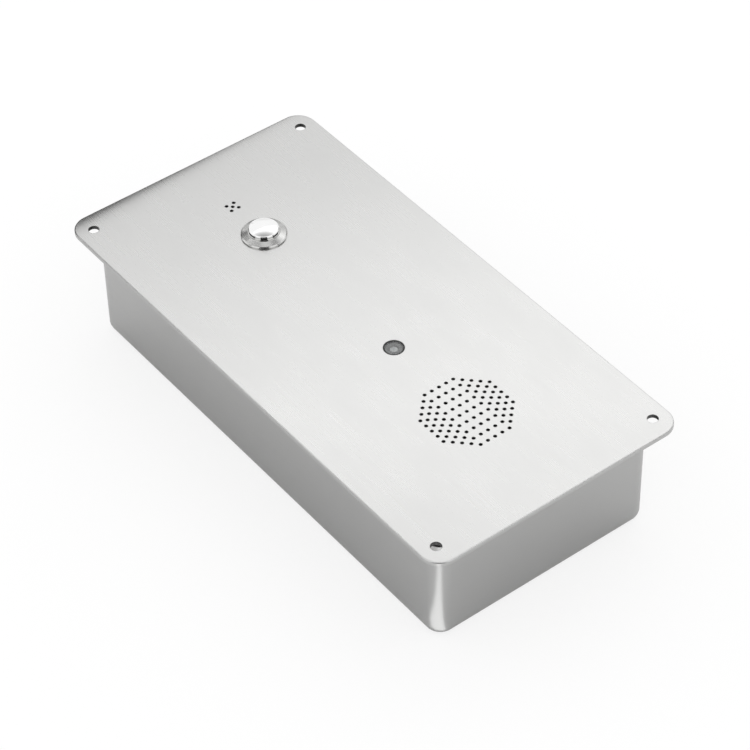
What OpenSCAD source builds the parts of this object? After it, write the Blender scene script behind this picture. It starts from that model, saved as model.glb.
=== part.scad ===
// Flush-mounted video door intercom: a flat stainless face plate on a deep stainless back box.
// The face looks up, along +Z. X runs across the plate and +Y points to the speaker end,
// which is uppermost on a wall. The origin is the centre of the back box's rear face.

/* [Face plate] */
// Width of the face plate
plate_w = 140; // [136:1:160]
// Length of the face plate
plate_l = 282; // [278:1:320]
// Thickness of the face plate
plate_t = 2; // [1.5:0.5:3]
// Radius of the face plate's corners
plate_corner_r = 10; // [8:1:14]
// Rounding of the face plate's upper edge
plate_edge_r = 0.6; // [0.3:0.1:1]
// Diameter of the four wall screw holes
wall_hole_d = 5.3; // [4.3:0.1:6]
// Distance from a wall screw hole's centre to the plate's long edge
hole_inset_side = 8.75; // [8:0.25:9]
// Distance from a wall screw hole's centre to the plate's short edge
hole_inset_end = 10.5; // [9:0.25:11]

/* [Back box] */
// Depth of the box behind the face plate, gasket included
box_depth = 60; // [54:1:80]
// How far the face plate stands out past the box's long sides
overhang_side = 9; // [8.5:0.5:11]
// How far the face plate stands out past the box's short sides
overhang_end = 10; // [9.5:0.5:12]
// Thickness of the box's sheet
box_sheet = 2; // [1.5:0.5:2.5]
// Outer radius of the box's upright corners
box_corner_r = 8; // [7:1:12]
// Outer bend radius between the box's walls and its floor
floor_bend_r = 5; // [3:1:6]
// Width of the rim that turns in under the face plate
rim_w = 10; // [8:1:13]
// Thickness of the gasket between rim and plate, pressed
gasket_t = 2; // [1:0.5:3]
// How far the gasket stays back from the box's outer face
gasket_setback = 1.5; // [1:0.5:3]

/* [Box fastening] */
// Width across the flats of a pillar between plate and floor
pillar_af = 8; // [7:0.5:10]
// Free space between a pillar's corner and the turned rim
pillar_gap = 1; // [0.5:0.5:3]
// Thread diameter of the screws through the floor
box_screw_d = 4; // [3:0.5:5]
// Head diameter of those screws
box_head_d = 7.4; // [6.5:0.1:7.8]
// Length of those screws, head included
box_screw_l = 12; // [8:1:20]

/* [Cable inlet] */
// Height of the inlet's centre above the box's rear face
inlet_z = 25; // [20:1:32]
// Bore of the rubber grommet
inlet_bore_d = 10; // [6:0.5:14]
// Hole in the sheet that the grommet fills
grommet_hole_d = 20; // [17:0.5:22]
// Outer diameter of the grommet's two lips
grommet_lip_d = 26; // [24:0.5:30]
// Thickness of each lip at its root
grommet_lip_t = 2.5; // [2:0.5:4]

/* [Push button] */
// Place of the button along the face plate, as a share of its length from the middle
button_place_share = -0.273; // [-0.28:0.001:-0.27]
// Outer diameter of the bezel
bezel_d = 22.2; // [21.8:0.2:24]
// Height of the bezel's outer edge above the face
bezel_edge_h = 1.2; // [1:0.1:1.6]
// Height of the bezel where it meets the collar
bezel_h = 2.1; // [1.8:0.1:2.5]
// Chamfer around the bezel's outer edge
bezel_chamfer = 0.5; // [0.2:0.1:0.8]
// Outer diameter of the raised collar
collar_d = 15.8; // [15.6:0.1:17]
// Height of the collar above the face
collar_h = 3.2; // [2.8:0.1:3.8]
// Diameter of the domed cap
cap_d = 14.6; // [13:0.1:14.7]
// Height of the cap's rim above the face
cap_rim_h = 4.2; // [3.9:0.1:5.4]
// Width of the flat ring round the cap's dome
cap_ring_w = 0.5; // [0.3:0.1:0.8]
// Rise of the dome above the cap's rim
dome_h = 0.7; // [0.5:0.1:1.4]
// How far the cap travels
button_travel = 2; // [1:0.25:2.5]
// Thread diameter of the button's barrel
barrel_d = 19; // [18.8:0.1:19.4]
// Length of the barrel below the face
barrel_l = 21; // [19:1:26]
// Width across the flats of the barrel's nut
button_nut_af = 22; // [21.5:0.5:25]
// Thickness of the barrel's nut
button_nut_t = 3; // [2:0.5:5]
// Thickness of the toothed washer under that nut
washer_t = 1; // [0.5:0.25:1.5]

/* [Button inside] */
// Depth below the face of the shoulder that holds the cap in
shoulder_depth = 2; // [1.5:0.25:2.5]
// Width of the flange at the cap's foot
cap_flange_w = 1; // [0.6:0.1:1]
// Thickness of that flange
cap_flange_t = 1.2; // [0.8:0.2:2]
// Height of the return spring at rest
spring_h = 7.8; // [7.2:0.2:9]
// Wire diameter of the return spring
spring_wire_d = 0.8; // [0.5:0.1:0.9]
// Mean diameter of the return spring
spring_d = 12.8; // [12.4:0.1:13.6]
// Active turns of the return spring
spring_turns = 3.5; // [2.5:0.5:3.5]
// Thickness of the contact block's foot
block_foot_t = 2; // [1.5:0.5:4]
// Depth of the block's floor under the contacts
block_floor_t = 4; // [3:0.5:5]
// Bore of the contact block
block_bore_d = 10.4; // [9.6:0.2:11]
// Diameter of the cap's stem
stem_d = 4; // [3:0.5:5]
// Diameter of the contact bridge
bridge_d = 8.4; // [7.6:0.2:9]
// Thickness of the contact bridge
bridge_t = 0.6; // [0.4:0.1:1]
// Air left between bridge and contacts at full travel
contact_air = 0.1; // [0.05:0.05:0.3]
// Distance between the two contacts' centres
contact_pitch = 5; // [4.4:0.2:5.4]
// Width of a terminal blade
blade_w = 2.8; // [2.4:0.2:3.2]
// Thickness of a terminal blade
blade_t = 0.6; // [0.4:0.1:0.8]
// Length of a terminal blade below the block
blade_l = 6; // [4:1:9]

/* [Speaker grille] */
// Place of the grille and speaker along the face plate, as a share of its length
speaker_place_share = 0.268; // [0.262:0.001:0.28]
// Distance between neighbouring holes in the grille
grille_pitch = 4.1; // [3.6:0.1:4.2]
// Diameter of a grille hole
grille_hole_d = 1.8; // [1.4:0.1:2.2]
// Solid width left between the grille and the speaker's foam ring
grille_margin = 0.7; // [0.5:0.1:1.5]

/* [Speaker] */
// Width of the foam ring around the speaker
foam_w = 3; // [2:0.5:3.5]
// Thickness of the foam ring, pressed
foam_t = 3; // [2.5:0.5:4]
// Thickness of the dust mesh behind the grille
mesh_t = 0.4; // [0.2:0.1:0.8]
// Sheet thickness of the speaker's basket
basket_t = 1; // [0.8:0.1:1.4]
// Depth of the basket below its flange
basket_depth = 12; // [10:0.5:15]
// Thickness of the cone's paper
cone_t = 0.5; // [0.4:0.1:0.8]
// Diameter of the ferrite magnet
magnet_d = 30; // [27:0.5:34]
// Thickness of the ferrite magnet
magnet_t = 8; // [6:0.5:11]
// Thickness of the two steel pole plates
pole_plate_t = 3; // [2:0.5:4]
// Diameter of the voice coil's former
coil_d = 11; // [10:0.5:13]

/* [Camera] */
// Place of the camera along the face plate, as a share of its length
camera_place_share = 0.0815; // [0.079:0.0005:0.09]
// Diameter of the camera's hole in the face plate
camera_hole_d = 10.1; // [9.6:0.1:11]
// Width of the black seal that shows around the window
seal_w = 0.7; // [0.5:0.1:1]
// Thickness of the window glass
window_t = 0.8; // [0.6:0.1:1.2]
// Depth of the window below the face
window_drop = 0.2; // [0.1:0.1:0.4]
// Thickness of the seal's flange behind the plate
seal_flange_t = 1.2; // [0.8:0.2:2]
// Depth of the cone in which the lens's front glass sits
lens_cone_h = 0.3; // [0.2:0.1:0.5]
// Diameter of the lens's front glass
lens_d = 3.8; // [3:0.2:4.4]
// Thread diameter of the lens barrel
lens_barrel_d = 12; // [11:0.5:13]
// Side of the square camera board
camera_board_w = 34; // [32:1:36]
// Distance from the face plate to the camera board
camera_spacer_l = 20; // [18:1:24]

/* [Microphone] */
// Place of the microphone along the face plate, as a share of its length
mic_place_share = -0.3635; // [-0.375:0.0005:-0.36]
// Side of the square on which the four outer sound holes lie
mic_pitch = 4.2; // [3.4:0.1:4.4]
// Diameter of a sound hole
mic_hole_d = 1.8; // [1.4:0.1:2]
// Diameter of the microphone capsule
capsule_d = 9.7; // [9.2:0.1:10.4]
// Height of the microphone capsule
capsule_h = 6.7; // [5:0.2:8]
// Wall of the rubber boot around the capsule
boot_wall = 2.2; // [1.6:0.2:3]
// Depth of the sound chamber between plate and capsule
chamber_t = 1.5; // [1:0.25:2.5]

/* [Main board] */
// Free space between the main board and its neighbours: box rim, button and camera board
board_gap = 3; // [2:0.5:4]
// Thickness of every circuit board
board_t = 1.6; // [1.2:0.2:2]
// Distance from the face plate to the main board
standoff_l = 10; // [8:1:14]

/* [Small fixings] */
// Thread diameter of the studs and board screws
stud_d = 3; // [2.5:0.5:3]
// Width across the flats of a stud nut
stud_nut_af = 5.5; // [5:0.5:6]
// Thickness of a stud nut
stud_nut_t = 2.4; // [1.8:0.2:3]
// Length of stud left past its nut
stud_end = 1; // [0.5:0.5:3]

/* [Leads] */
// Outer diameter of a lead
lead_d = 1.4; // [1:0.1:1.6]
// Distance between the two leads of a pair
lead_pitch = 2.54; // [2:0.01:3]

/* [Hidden] */

$fn = 64;

// Overrun of every cut past the face that it opens
cut = 1;
// Radial clearance of a thread in its nut or bore, and of a piece pressed in its seat
fit_gap = 0.05;
// Radial clearance of the sliding cap in the button's barrel
slide_gap = 0.1;
// Radial clearance of a screw or stud in a plain hole
hole_gap = 0.15;

// Heights of the main faces
back_z = box_depth;
face_z = box_depth + plate_t;
box_h = box_depth - gasket_t;

// Plan sizes of the back box
box_w = plate_w - 2 * overhang_side;
box_l = plate_l - 2 * overhang_end;
rim_open_w = box_w - 2 * rim_w;
rim_open_l = box_l - 2 * rim_w;

// Places of the parts along the face plate
mic_y = mic_place_share * plate_l;
button_y = button_place_share * plate_l;
camera_y = camera_place_share * plate_l;
speaker_y = speaker_place_share * plate_l;

// Places of the wall screw holes and the pillars
wall_hole_x = plate_w / 2 - hole_inset_side;
wall_hole_y = plate_l / 2 - hole_inset_end;
pillar_r = pillar_af / sqrt(3);
pillar_x = rim_open_w / 2 - pillar_r - pillar_gap;
pillar_y = rim_open_l / 2 - pillar_r - pillar_gap;
box_head_h = (box_head_d - box_screw_d) / 2;

// Levels inside the push button, counted up from the rear face
shoulder_z = face_z - shoulder_depth;
flange_foot_z = shoulder_z - cap_flange_t;
block_top_z = flange_foot_z - spring_h;
barrel_end_z = face_z - barrel_l;
block_end_z = barrel_end_z - block_foot_t;
cavity_z = block_end_z + block_floor_t;
contact_h = bridge_t * 2;
contact_z = cavity_z + contact_h;
bridge_z = contact_z + button_travel + contact_air;
cap_r = cap_d / 2;
cap_bore_r = cap_r + slide_gap;
cap_flange_r = cap_r + cap_flange_w;
barrel_bore_r = cap_flange_r + slide_gap;
seal_ring_w = (bezel_d - barrel_d) / 4;
seal_ring_h = bezel_edge_h * 2 / 3;
seal_ring_r = (bezel_d + barrel_d) / 4 - seal_ring_w / 2;

// The grille is a regular octagon with five holes on each side
side_holes = 5;
diagonal_step = grille_pitch / sqrt(2);
side_span = (side_holes - 1) * grille_pitch;
full_span = side_span * (1 + sqrt(2));
full_row_holes = 2 * side_holes - 1;
grille_r = side_span / (2 * sin(22.5)) + grille_hole_d / 2;

// Speaker sizes that follow the grille
foam_bore_r = grille_r + grille_margin;
speaker_r = foam_bore_r + foam_w;
speaker_corner_r = foam_w * 2;
flange_z = back_z - mesh_t - foam_t - cone_t;
basket_foot_z = flange_z - basket_depth;
ear_offset = (speaker_r + stud_d) / sqrt(2);
coil_r = coil_d / 2;
pole_gap = (magnet_d - coil_d) / 30;
magnet_top_z = basket_foot_z - pole_plate_t;
magnet_foot_z = magnet_top_z - magnet_t;
basket_foot_r = magnet_d / 2;
surround_r = (foam_bore_r - coil_r) / 12;
surround_mid_r = foam_bore_r - surround_r - cone_t / 2;
dust_cap_h = coil_r / 2;
coil_top_z = flange_z - basket_depth / 2;
terminal_tab_t = 1.2;
terminal_tab_w = 10;

// Camera levels
window_r = camera_hole_d / 2 - seal_w;
window_foot_z = face_z - window_drop - window_t;
holder_top_z = back_z - seal_flange_t;
holder_r = lens_barrel_d / 2 + seal_w * 2;
camera_board_z = back_z - camera_spacer_l;
camera_hole_offset = camera_board_w / 2 - stud_d;
nose_r = window_r - fit_gap;
nose_top_z = window_foot_z;
lens_rim_z = nose_top_z - lens_cone_h;
sensor_w = lens_barrel_d * 2 / 3;
sensor_t = board_t * 3 / 4;

// Microphone levels
capsule_top_z = back_z - chamber_t;
boot_foot_z = capsule_top_z - capsule_h;
boot_r = capsule_d / 2 + boot_wall;
clamp_t = 1;
clamp_w = capsule_d;
clamp_hole_x = boot_r + stud_d + boot_wall;

// Heights of the nuts' upper faces: under the speaker's ears and under the microphone's strap
ear_nut_z = flange_z - basket_t;
clamp_nut_z = boot_foot_z - clamp_t;

// The main board fills the room between the box's rims, the button and the camera board
board_w = rim_open_w - 2 * board_gap;
board_front_y = camera_y - camera_board_w / 2 - board_gap;
board_rear_y = button_y + button_nut_af / 2 + washer_t + board_gap;
board_l = board_front_y - board_rear_y;
board_y = (board_front_y + board_rear_y) / 2;

// Main board levels and fixing holes
board_top_z = back_z - standoff_l;
board_rear_z = board_top_z - board_t;
board_hole_x = board_w / 2 - stud_d * 5 / 3;
board_hole_y = board_l / 2 - stud_d * 5 / 3;
screw_head_d = stud_d * 11 / 6;
screw_head_h = stud_d * 2 / 3;

// Parts on the main board, each placed by shares of the board's half width and half length
processor_w = 15;
processor_t = 1.4;
processor_place_shares = [0, 0.2];
chip_w = 5;
chip_l = 8;
chip_t = 1.6;
chip_place_shares = [[-0.3, 0.64], [-0.02, 0.66], [0.26, 0.64]];
can_d = 10;
can_h = 16;
can_place_shares = [[-0.62, 0.36], [-0.62, -0.12], [-0.34, 0.1]];
can_size_shares = [1, 1, 0.8];
transformer_w = 14;
transformer_h = 11;
transformer_place_shares = [0.54, 0.3];
jack_w = 16;
jack_l = 21.5;
jack_h = 13.5;
terminal_pitch = 5.08;
terminal_ways = 3;
terminal_l = 10;
terminal_h = 13;
terminal_w = terminal_pitch * terminal_ways;

// Plug headers, and the row along the board's rear edge: terminal block, button header, jack
// and microphone header, from one screw head to the other
header_w = 6.5;
header_l = 5;
header_h = 6;
row_gap = 1.3;
row_half_w = board_hole_x - screw_head_d / 2 - board_gap;
terminal_x = terminal_w / 2 - row_half_w;
button_header_x = terminal_w - row_half_w + row_gap + header_w / 2;
mic_header_x = row_half_w - header_w / 2;
jack_x = row_half_w - header_w - row_gap - jack_w / 2;
speaker_header_x = row_half_w - header_w;
header_foot_z = board_rear_z - header_h;
header_mid_z = board_rear_z - header_h / 2;
ribbon_w = 8;
ribbon_t = 0.4;

// Shapes used by several pieces

// A rectangle with rounded corners, centred
module rounded_rect(w, l, r) {
    square([w - 2 * r, l], center = true);
    square([w, l - 2 * r], center = true);
    for (x = [-1, 1], y = [-1, 1])
        translate([x * (w / 2 - r), y * (l / 2 - r)])
            circle(r);
}

// Half section of a slab of thickness t: depth r, with its upper outer edge rounded by e
module eased_section(r, t, e) {
    square([r, t - e]);
    square([r - e, t]);
    translate([r - e, t - e])
        intersection() {
            circle(e);
            square(e);
        }
}

// A slab with upright corners of radius r whose upper edge is rounded by e
module eased_slab(w, l, r, t, e) {
    translate([r - w / 2, r - l / 2, 0])
        cube([w - 2 * r, l - 2 * r, t]);
    for (turn = [0, 90, 180, 270]) {
        along = turn % 180 == 0 ? l : w;
        across = turn % 180 == 0 ? w : l;
        rotate(turn) {
            translate([across / 2 - r, along / 2 - r, 0])
                rotate_extrude(angle = 90)
                    eased_section(r, t, e);
            translate([across / 2 - r, along / 2 - r, 0])
                rotate([90, 0, 0])
                    linear_extrude(along - 2 * r)
                        eased_section(r, t, e);
        }
    }
}

// The same slab turned over, so that its lower edge is the rounded one
module tray_solid(w, l, r, h, e) {
    translate([0, 0, h])
        mirror([0, 0, 1])
            eased_slab(w, l, r, h, e);
}

// Four copies, one in each quadrant
module at_corners(x, y) {
    for (i = [-1, 1], j = [-1, 1])
        translate([i * x, j * y, 0])
            children();
}

// A flat ring
module ring(outer_r, inner_r, t) {
    linear_extrude(t)
        difference() {
            circle(outer_r);
            circle(inner_r);
        }
}

// A hexagonal bar across flats af, with a blind bore up from its foot
module hex_spacer(af, l, bore_r, bore_l) {
    difference() {
        cylinder(h = l, d = af * 2 / sqrt(3), $fn = 6);
        translate([0, 0, -cut])
            cylinder(h = bore_l + cut, r = bore_r);
    }
}

// A nut with its foot at zero
module hex_nut(af, t, bore_r) {
    difference() {
        cylinder(h = t, d = af * 2 / sqrt(3), $fn = 6);
        translate([0, 0, -cut])
            cylinder(h = t + 2 * cut, r = bore_r);
    }
}

// A board screw pointing up, its head below zero
module pan_screw(d, l) {
    head_r = screw_head_d / 2;
    difference() {
        union() {
            cylinder(h = l, d = d);
            translate([0, 0, -screw_head_h])
                cylinder(h = screw_head_h, r1 = head_r * 3 / 4, r2 = head_r);
        }
        for (turn = [0, 90])
            rotate(turn)
                translate([-head_r / 2, -head_r / 8, -screw_head_h - cut])
                    cube([head_r, head_r / 4, screw_head_h / 2 + cut]);
    }
}

// Points of a curve from a to d, leaving towards b and arriving from c
function curve(a, b, c, d, steps) = [
    for (i = [0:steps])
        let (t = i / steps, s = 1 - t)
            s * s * s * a + 3 * s * s * t * b + 3 * s * t * t * c + t * t * t * d
];

// Points of an arc about centre, from one angle to another
function arc(centre, r, from, to, steps) = [
    for (i = [0:steps])
        let (a = from + (to - from) * i / steps)
            centre + r * [cos(a), sin(a)]
];

function unit(v) = v / norm(v);

// Direction of a route at its point i
function heading(route, i) =
    unit(route[min(i + 1, len(route) - 1)] - route[max(i - 1, 0)]);

// A closed solid that carries a flat outline along a route; side is a direction that the
// route never runs along, and the outline's first axis follows it
module sweep(route, outline, side) {
    n = len(outline);
    m = len(route);
    points = [
        for (i = [0:m - 1])
            let (
                dir = heading(route, i),
                up = unit(cross(dir, side)),
                out = cross(up, dir)
            )
                for (p = outline)
                    route[i] + p[0] * out + p[1] * up
    ];
    walls = [
        for (i = [0:m - 2], k = [0:n - 1], half = [0, 1])
            let (
                a = i * n + k,
                b = i * n + (k + 1) % n
            )
                half == 0 ? [a, b, b + n] : [a, b + n, a + n]
    ];
    caps = [
        for (k = [1:n - 2])
            [0, k + 1, k]
    ];
    far_caps = [
        for (k = [1:n - 2])
            [(m - 1) * n, (m - 1) * n + k, (m - 1) * n + k + 1]
    ];
    polyhedron(points, concat(walls, caps, far_caps));
}

function round_outline(r, sides) = [
    for (k = [0:sides - 1])
        r * [cos(360 * k / sides), sin(360 * k / sides)]
];

// Face plate and what is fixed to it

// Places of the grille's holes, row by row; row 0 is the middle one
function grille_row_x(row) =
    let (
        n = abs(row),
        flat_rows = (side_holes - 1) / 2
    )
        sign(row) * (min(n, flat_rows) * grille_pitch + max(n - flat_rows, 0) * diagonal_step);

module grille_holes() {
    flat_rows = (side_holes - 1) / 2;
    last_row = flat_rows + side_holes - 1;
    for (row = [-last_row:last_row]) {
        narrowing = max(abs(row) - flat_rows, 0);
        holes = full_row_holes - narrowing;
        span = full_span - 2 * narrowing * diagonal_step;
        for (i = [0:holes - 1])
            translate([grille_row_x(row), (i / (holes - 1) - 1 / 2) * span, 0])
                circle(d = grille_hole_d, $fn = 32);
    }
}

module mic_holes() {
    circle(d = mic_hole_d, $fn = 32);
    for (i = [-1, 1], j = [-1, 1])
        translate([i, j] * mic_pitch / 2)
            circle(d = mic_hole_d, $fn = 32);
}

module face_plate() {
    color("silver")
        difference() {
            translate([0, 0, back_z])
                eased_slab(plate_w, plate_l, plate_corner_r, plate_t, plate_edge_r);
            translate([0, 0, back_z - cut])
                linear_extrude(plate_t + 2 * cut) {
                    for (i = [-1, 1], j = [-1, 1])
                        translate([i * wall_hole_x, j * wall_hole_y])
                            circle(d = wall_hole_d);
                    translate([0, button_y])
                        circle(barrel_d / 2 + hole_gap);
                    translate([0, camera_y])
                        circle(d = camera_hole_d);
                    translate([0, speaker_y])
                        grille_holes();
                    translate([0, mic_y])
                        mic_holes();
                }
        }
}

module at_ears() {
    translate([0, speaker_y, 0])
        at_corners(ear_offset, ear_offset)
            children();
}

module at_clamp_holes() {
    for (i = [-1, 1])
        translate([i * clamp_hole_x, mic_y, 0])
            children();
}

module plate_studs() {
    color("silver") {
        at_ears()
            translate([0, 0, ear_nut_z - stud_nut_t - stud_end])
                cylinder(h = back_z - ear_nut_z + stud_nut_t + stud_end, d = stud_d);
        at_clamp_holes()
            translate([0, 0, clamp_nut_z - stud_nut_t - stud_end])
                cylinder(h = back_z - clamp_nut_z + stud_nut_t + stud_end, d = stud_d);
    }
}

module stud_nuts() {
    color("lightgray") {
        at_ears()
            translate([0, 0, ear_nut_z - stud_nut_t])
                hex_nut(stud_nut_af, stud_nut_t, stud_d / 2 + fit_gap);
        at_clamp_holes()
            translate([0, 0, clamp_nut_z - stud_nut_t])
                hex_nut(stud_nut_af, stud_nut_t, stud_d / 2 + fit_gap);
    }
}

// Back box

module box_gasket() {
    color("dimgray")
        translate([0, 0, box_h])
            linear_extrude(gasket_t)
                difference() {
                    rounded_rect(
                        box_w - 2 * gasket_setback,
                        box_l - 2 * gasket_setback,
                        box_corner_r - gasket_setback
                    );
                    square([rim_open_w, rim_open_l], center = true);
                }
}

// A countersunk screw's shape, for the hole or the screw: head down, flush at zero
module countersunk(head_r, shank_r, head_h, l) {
    cylinder(h = head_h, r1 = head_r, r2 = shank_r);
    cylinder(h = l, r = shank_r);
}

module back_box() {
    color("silver")
        difference() {
            tray_solid(box_w, box_l, box_corner_r, box_h, floor_bend_r);
            translate([0, 0, box_sheet])
                tray_solid(
                    box_w - 2 * box_sheet,
                    box_l - 2 * box_sheet,
                    box_corner_r - box_sheet,
                    box_h - 2 * box_sheet,
                    floor_bend_r - box_sheet
                );
            translate([0, 0, box_h / 2 + box_sheet])
                linear_extrude(box_h)
                    square([rim_open_w, rim_open_l], center = true);
            at_corners(pillar_x, pillar_y) {
                countersunk(
                    box_head_d / 2 + fit_gap,
                    box_screw_d / 2 + fit_gap,
                    box_head_h,
                    box_sheet + cut
                );
                translate([0, 0, -cut])
                    cylinder(h = cut, r = box_head_d / 2 + fit_gap);
            }
            translate([0, -box_l / 2, inlet_z])
                rotate([90, 0, 0])
                    cylinder(h = 2 * (box_sheet + cut), d = grommet_hole_d, center = true);
        }
}

module box_pillars() {
    color("gainsboro")
        at_corners(pillar_x, pillar_y)
            translate([0, 0, box_sheet])
                hex_spacer(
                    pillar_af,
                    back_z - box_sheet,
                    box_screw_d / 2 + fit_gap,
                    box_screw_l
                );
}

module box_screws() {
    socket_r = box_screw_d / 3;
    color("gray")
        at_corners(pillar_x, pillar_y)
            difference() {
                countersunk(box_head_d / 2, box_screw_d / 2, box_head_h, box_screw_l);
                translate([0, 0, -cut])
                    cylinder(h = cut + box_head_h * 2 / 3, r = socket_r, $fn = 6);
            }
}

// The grommet's upper half section: along the wall's axis, from the bore outwards
module grommet_section() {
    bore_r = inlet_bore_d / 2;
    lip_r = grommet_lip_d / 2;
    neck_r = grommet_hole_d / 2;
    nose_r = (neck_r + lip_r) / 2;
    polygon([
        [bore_r, -grommet_lip_t],
        [nose_r, -grommet_lip_t],
        [lip_r, -grommet_lip_t / 2],
        [lip_r, 0],
        [neck_r, 0],
        [neck_r, box_sheet],
        [lip_r, box_sheet],
        [lip_r, box_sheet + grommet_lip_t / 2],
        [nose_r, box_sheet + grommet_lip_t],
        [bore_r, box_sheet + grommet_lip_t]
    ]);
}

module cable_grommet() {
    color("black")
        translate([0, -box_l / 2, inlet_z])
            rotate([-90, 0, 0])
                rotate_extrude()
                    grommet_section();
}

// Push button

module button_body() {
    barrel_r = barrel_d / 2;
    bezel_r = bezel_d / 2;
    collar_r = collar_d / 2;
    edge = (collar_r - cap_bore_r) / 3;
    color("silver")
        translate([0, button_y, face_z])
            difference() {
                rotate_extrude()
                    polygon([
                        [barrel_bore_r, -barrel_l],
                        [barrel_r, -barrel_l],
                        [barrel_r, 0],
                        [bezel_r, 0],
                        [bezel_r, bezel_edge_h - bezel_chamfer],
                        [bezel_r - bezel_chamfer, bezel_edge_h],
                        [collar_r, bezel_h],
                        [collar_r, collar_h - edge],
                        [collar_r - edge, collar_h],
                        [cap_bore_r, collar_h],
                        [cap_bore_r, -shoulder_depth],
                        [barrel_bore_r, -shoulder_depth]
                    ]);
                translate([0, 0, -cut])
                    ring(seal_ring_r + seal_ring_w, seal_ring_r, seal_ring_h + cut);
            }
}

module button_seal() {
    color("black")
        translate([0, button_y, face_z])
            ring(seal_ring_r + seal_ring_w - fit_gap, seal_ring_r + fit_gap, seal_ring_h);
}

module button_washer() {
    teeth = 12;
    inner_r = barrel_d / 2 + hole_gap;
    outer_r = button_nut_af / 2 + washer_t;
    color("silver")
        translate([0, button_y, back_z - washer_t])
            linear_extrude(washer_t)
                difference() {
                    circle(outer_r);
                    circle(inner_r);
                    for (k = [0:teeth - 1])
                        rotate(360 * k / teeth)
                            translate([button_nut_af / 2, -washer_t / 2])
                                square(washer_t * 2);
                }
}

module button_nut() {
    color("silver")
        translate([0, button_y, back_z - washer_t - button_nut_t])
            hex_nut(button_nut_af, button_nut_t, barrel_d / 2 + fit_gap);
}

module button_cap() {
    rim_bevel = cap_ring_w / 2;
    dome_r = cap_r - rim_bevel - cap_ring_w;
    ball_r = (dome_r * dome_r + dome_h * dome_h) / (2 * dome_h);
    stem_top = -shoulder_depth - cap_flange_t;
    color("whitesmoke")
        translate([0, button_y, face_z])
            rotate_extrude() {
                polygon([
                    [0, stem_top],
                    [cap_flange_r, stem_top],
                    [cap_flange_r, -shoulder_depth],
                    [cap_r, -shoulder_depth],
                    [cap_r, cap_rim_h - rim_bevel],
                    [cap_r - rim_bevel, cap_rim_h],
                    [0, cap_rim_h]
                ]);
                translate([0, bridge_z + bridge_t - face_z])
                    square([stem_d / 2, stem_top + face_z - bridge_z - bridge_t]);
                intersection() {
                    translate([0, cap_rim_h + dome_h - ball_r])
                        circle(ball_r, $fn = 256);
                    translate([0, cap_rim_h])
                        square([dome_r, dome_h]);
                }
            }
}

module contact_bridge() {
    color("gold")
        translate([0, button_y, bridge_z])
            cylinder(h = bridge_t, d = bridge_d);
}

// Height of the spring's wire after a number of turns: a closed turn at each end
function spring_rise(turn) =
    let (
        closed = spring_wire_d * 1.1,
        open = spring_h - spring_wire_d - 2 * closed
    )
        turn < 1 ? closed * turn
        : turn < 1 + spring_turns ? closed + open * (turn - 1) / spring_turns
        : closed + open + closed * (turn - 1 - spring_turns);

module button_spring() {
    steps_per_turn = 16;
    turns = spring_turns + 2;
    route = [
        for (i = [0:turns * steps_per_turn])
            let (turn = i / steps_per_turn)
                [
                    spring_d / 2 * cos(360 * turn),
                    spring_d / 2 * sin(360 * turn),
                    spring_wire_d / 2 + spring_rise(turn)
                ]
    ];
    color("lightsteelblue")
        translate([0, button_y, block_top_z])
            sweep(route, round_outline(spring_wire_d / 2, 8), [0, 0, 1]);
}

module contact_block() {
    color("darkslategray")
        translate([0, button_y, 0])
            difference() {
                union() {
                    translate([0, 0, block_end_z])
                        cylinder(h = block_top_z - block_end_z, r = barrel_bore_r - fit_gap);
                    translate([0, 0, block_end_z])
                        cylinder(h = block_foot_t, d = barrel_d);
                }
                translate([0, 0, cavity_z])
                    cylinder(h = block_top_z - cavity_z + cut, d = block_bore_d);
                for (i = [-1, 1])
                    translate([0, i * contact_pitch / 2, block_end_z])
                        linear_extrude(2 * block_floor_t, center = true)
                            square([blade_w, blade_t] + [1, 1] * fit_gap, center = true);
            }
}

module button_terminals() {
    color("goldenrod")
        for (i = [-1, 1])
            translate([0, button_y + i * contact_pitch / 2, 0]) {
                translate([0, 0, cavity_z])
                    cylinder(h = contact_h, d = contact_pitch / 2, $fn = 32);
                translate([-blade_w / 2, -blade_t / 2, block_end_z - blade_l])
                    cube([blade_w, blade_t, block_floor_t + blade_l + contact_h / 2]);
            }
}

// A pair of leads that hangs in a loop from start up to a header's foot at finish; apart is
// the vector from the inner lead to the outer one, and the outer loop hangs lower
module lead_pair(start, start_apart, drop, finish, finish_apart, reach) {
    stub = [0, 0, lead_d];
    across = cross([0, 0, 1], finish - start);
    for (i = [-1, 1]) {
        a = start + i * start_apart / 2;
        d = finish + i * finish_apart / 2;
        nest = i * norm(start_apart) / 2;
        bend = curve(a - stub, a - [0, 0, drop + nest], d - [0, 0, reach + nest], d - stub, 20);
        sweep(concat([a], bend, [d]), round_outline(lead_d / 2, 8), across);
    }
}

module button_leads() {
    color("firebrick")
        lead_pair(
            [0, button_y, block_end_z - blade_l],
            [0, -contact_pitch, 0],
            blade_l * 2,
            [button_header_x, board_rear_y + header_l / 2, header_foot_z],
            [-lead_pitch, 0, 0],
            blade_l * 2
        );
}

// Speaker

module speaker_mesh() {
    color("black")
        translate([0, speaker_y, back_z - mesh_t])
            cylinder(h = mesh_t, r = speaker_r);
}

module speaker_foam() {
    color("dimgray")
        translate([0, speaker_y, back_z - mesh_t - foam_t])
            ring(speaker_r, foam_bore_r, foam_t);
}

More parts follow.
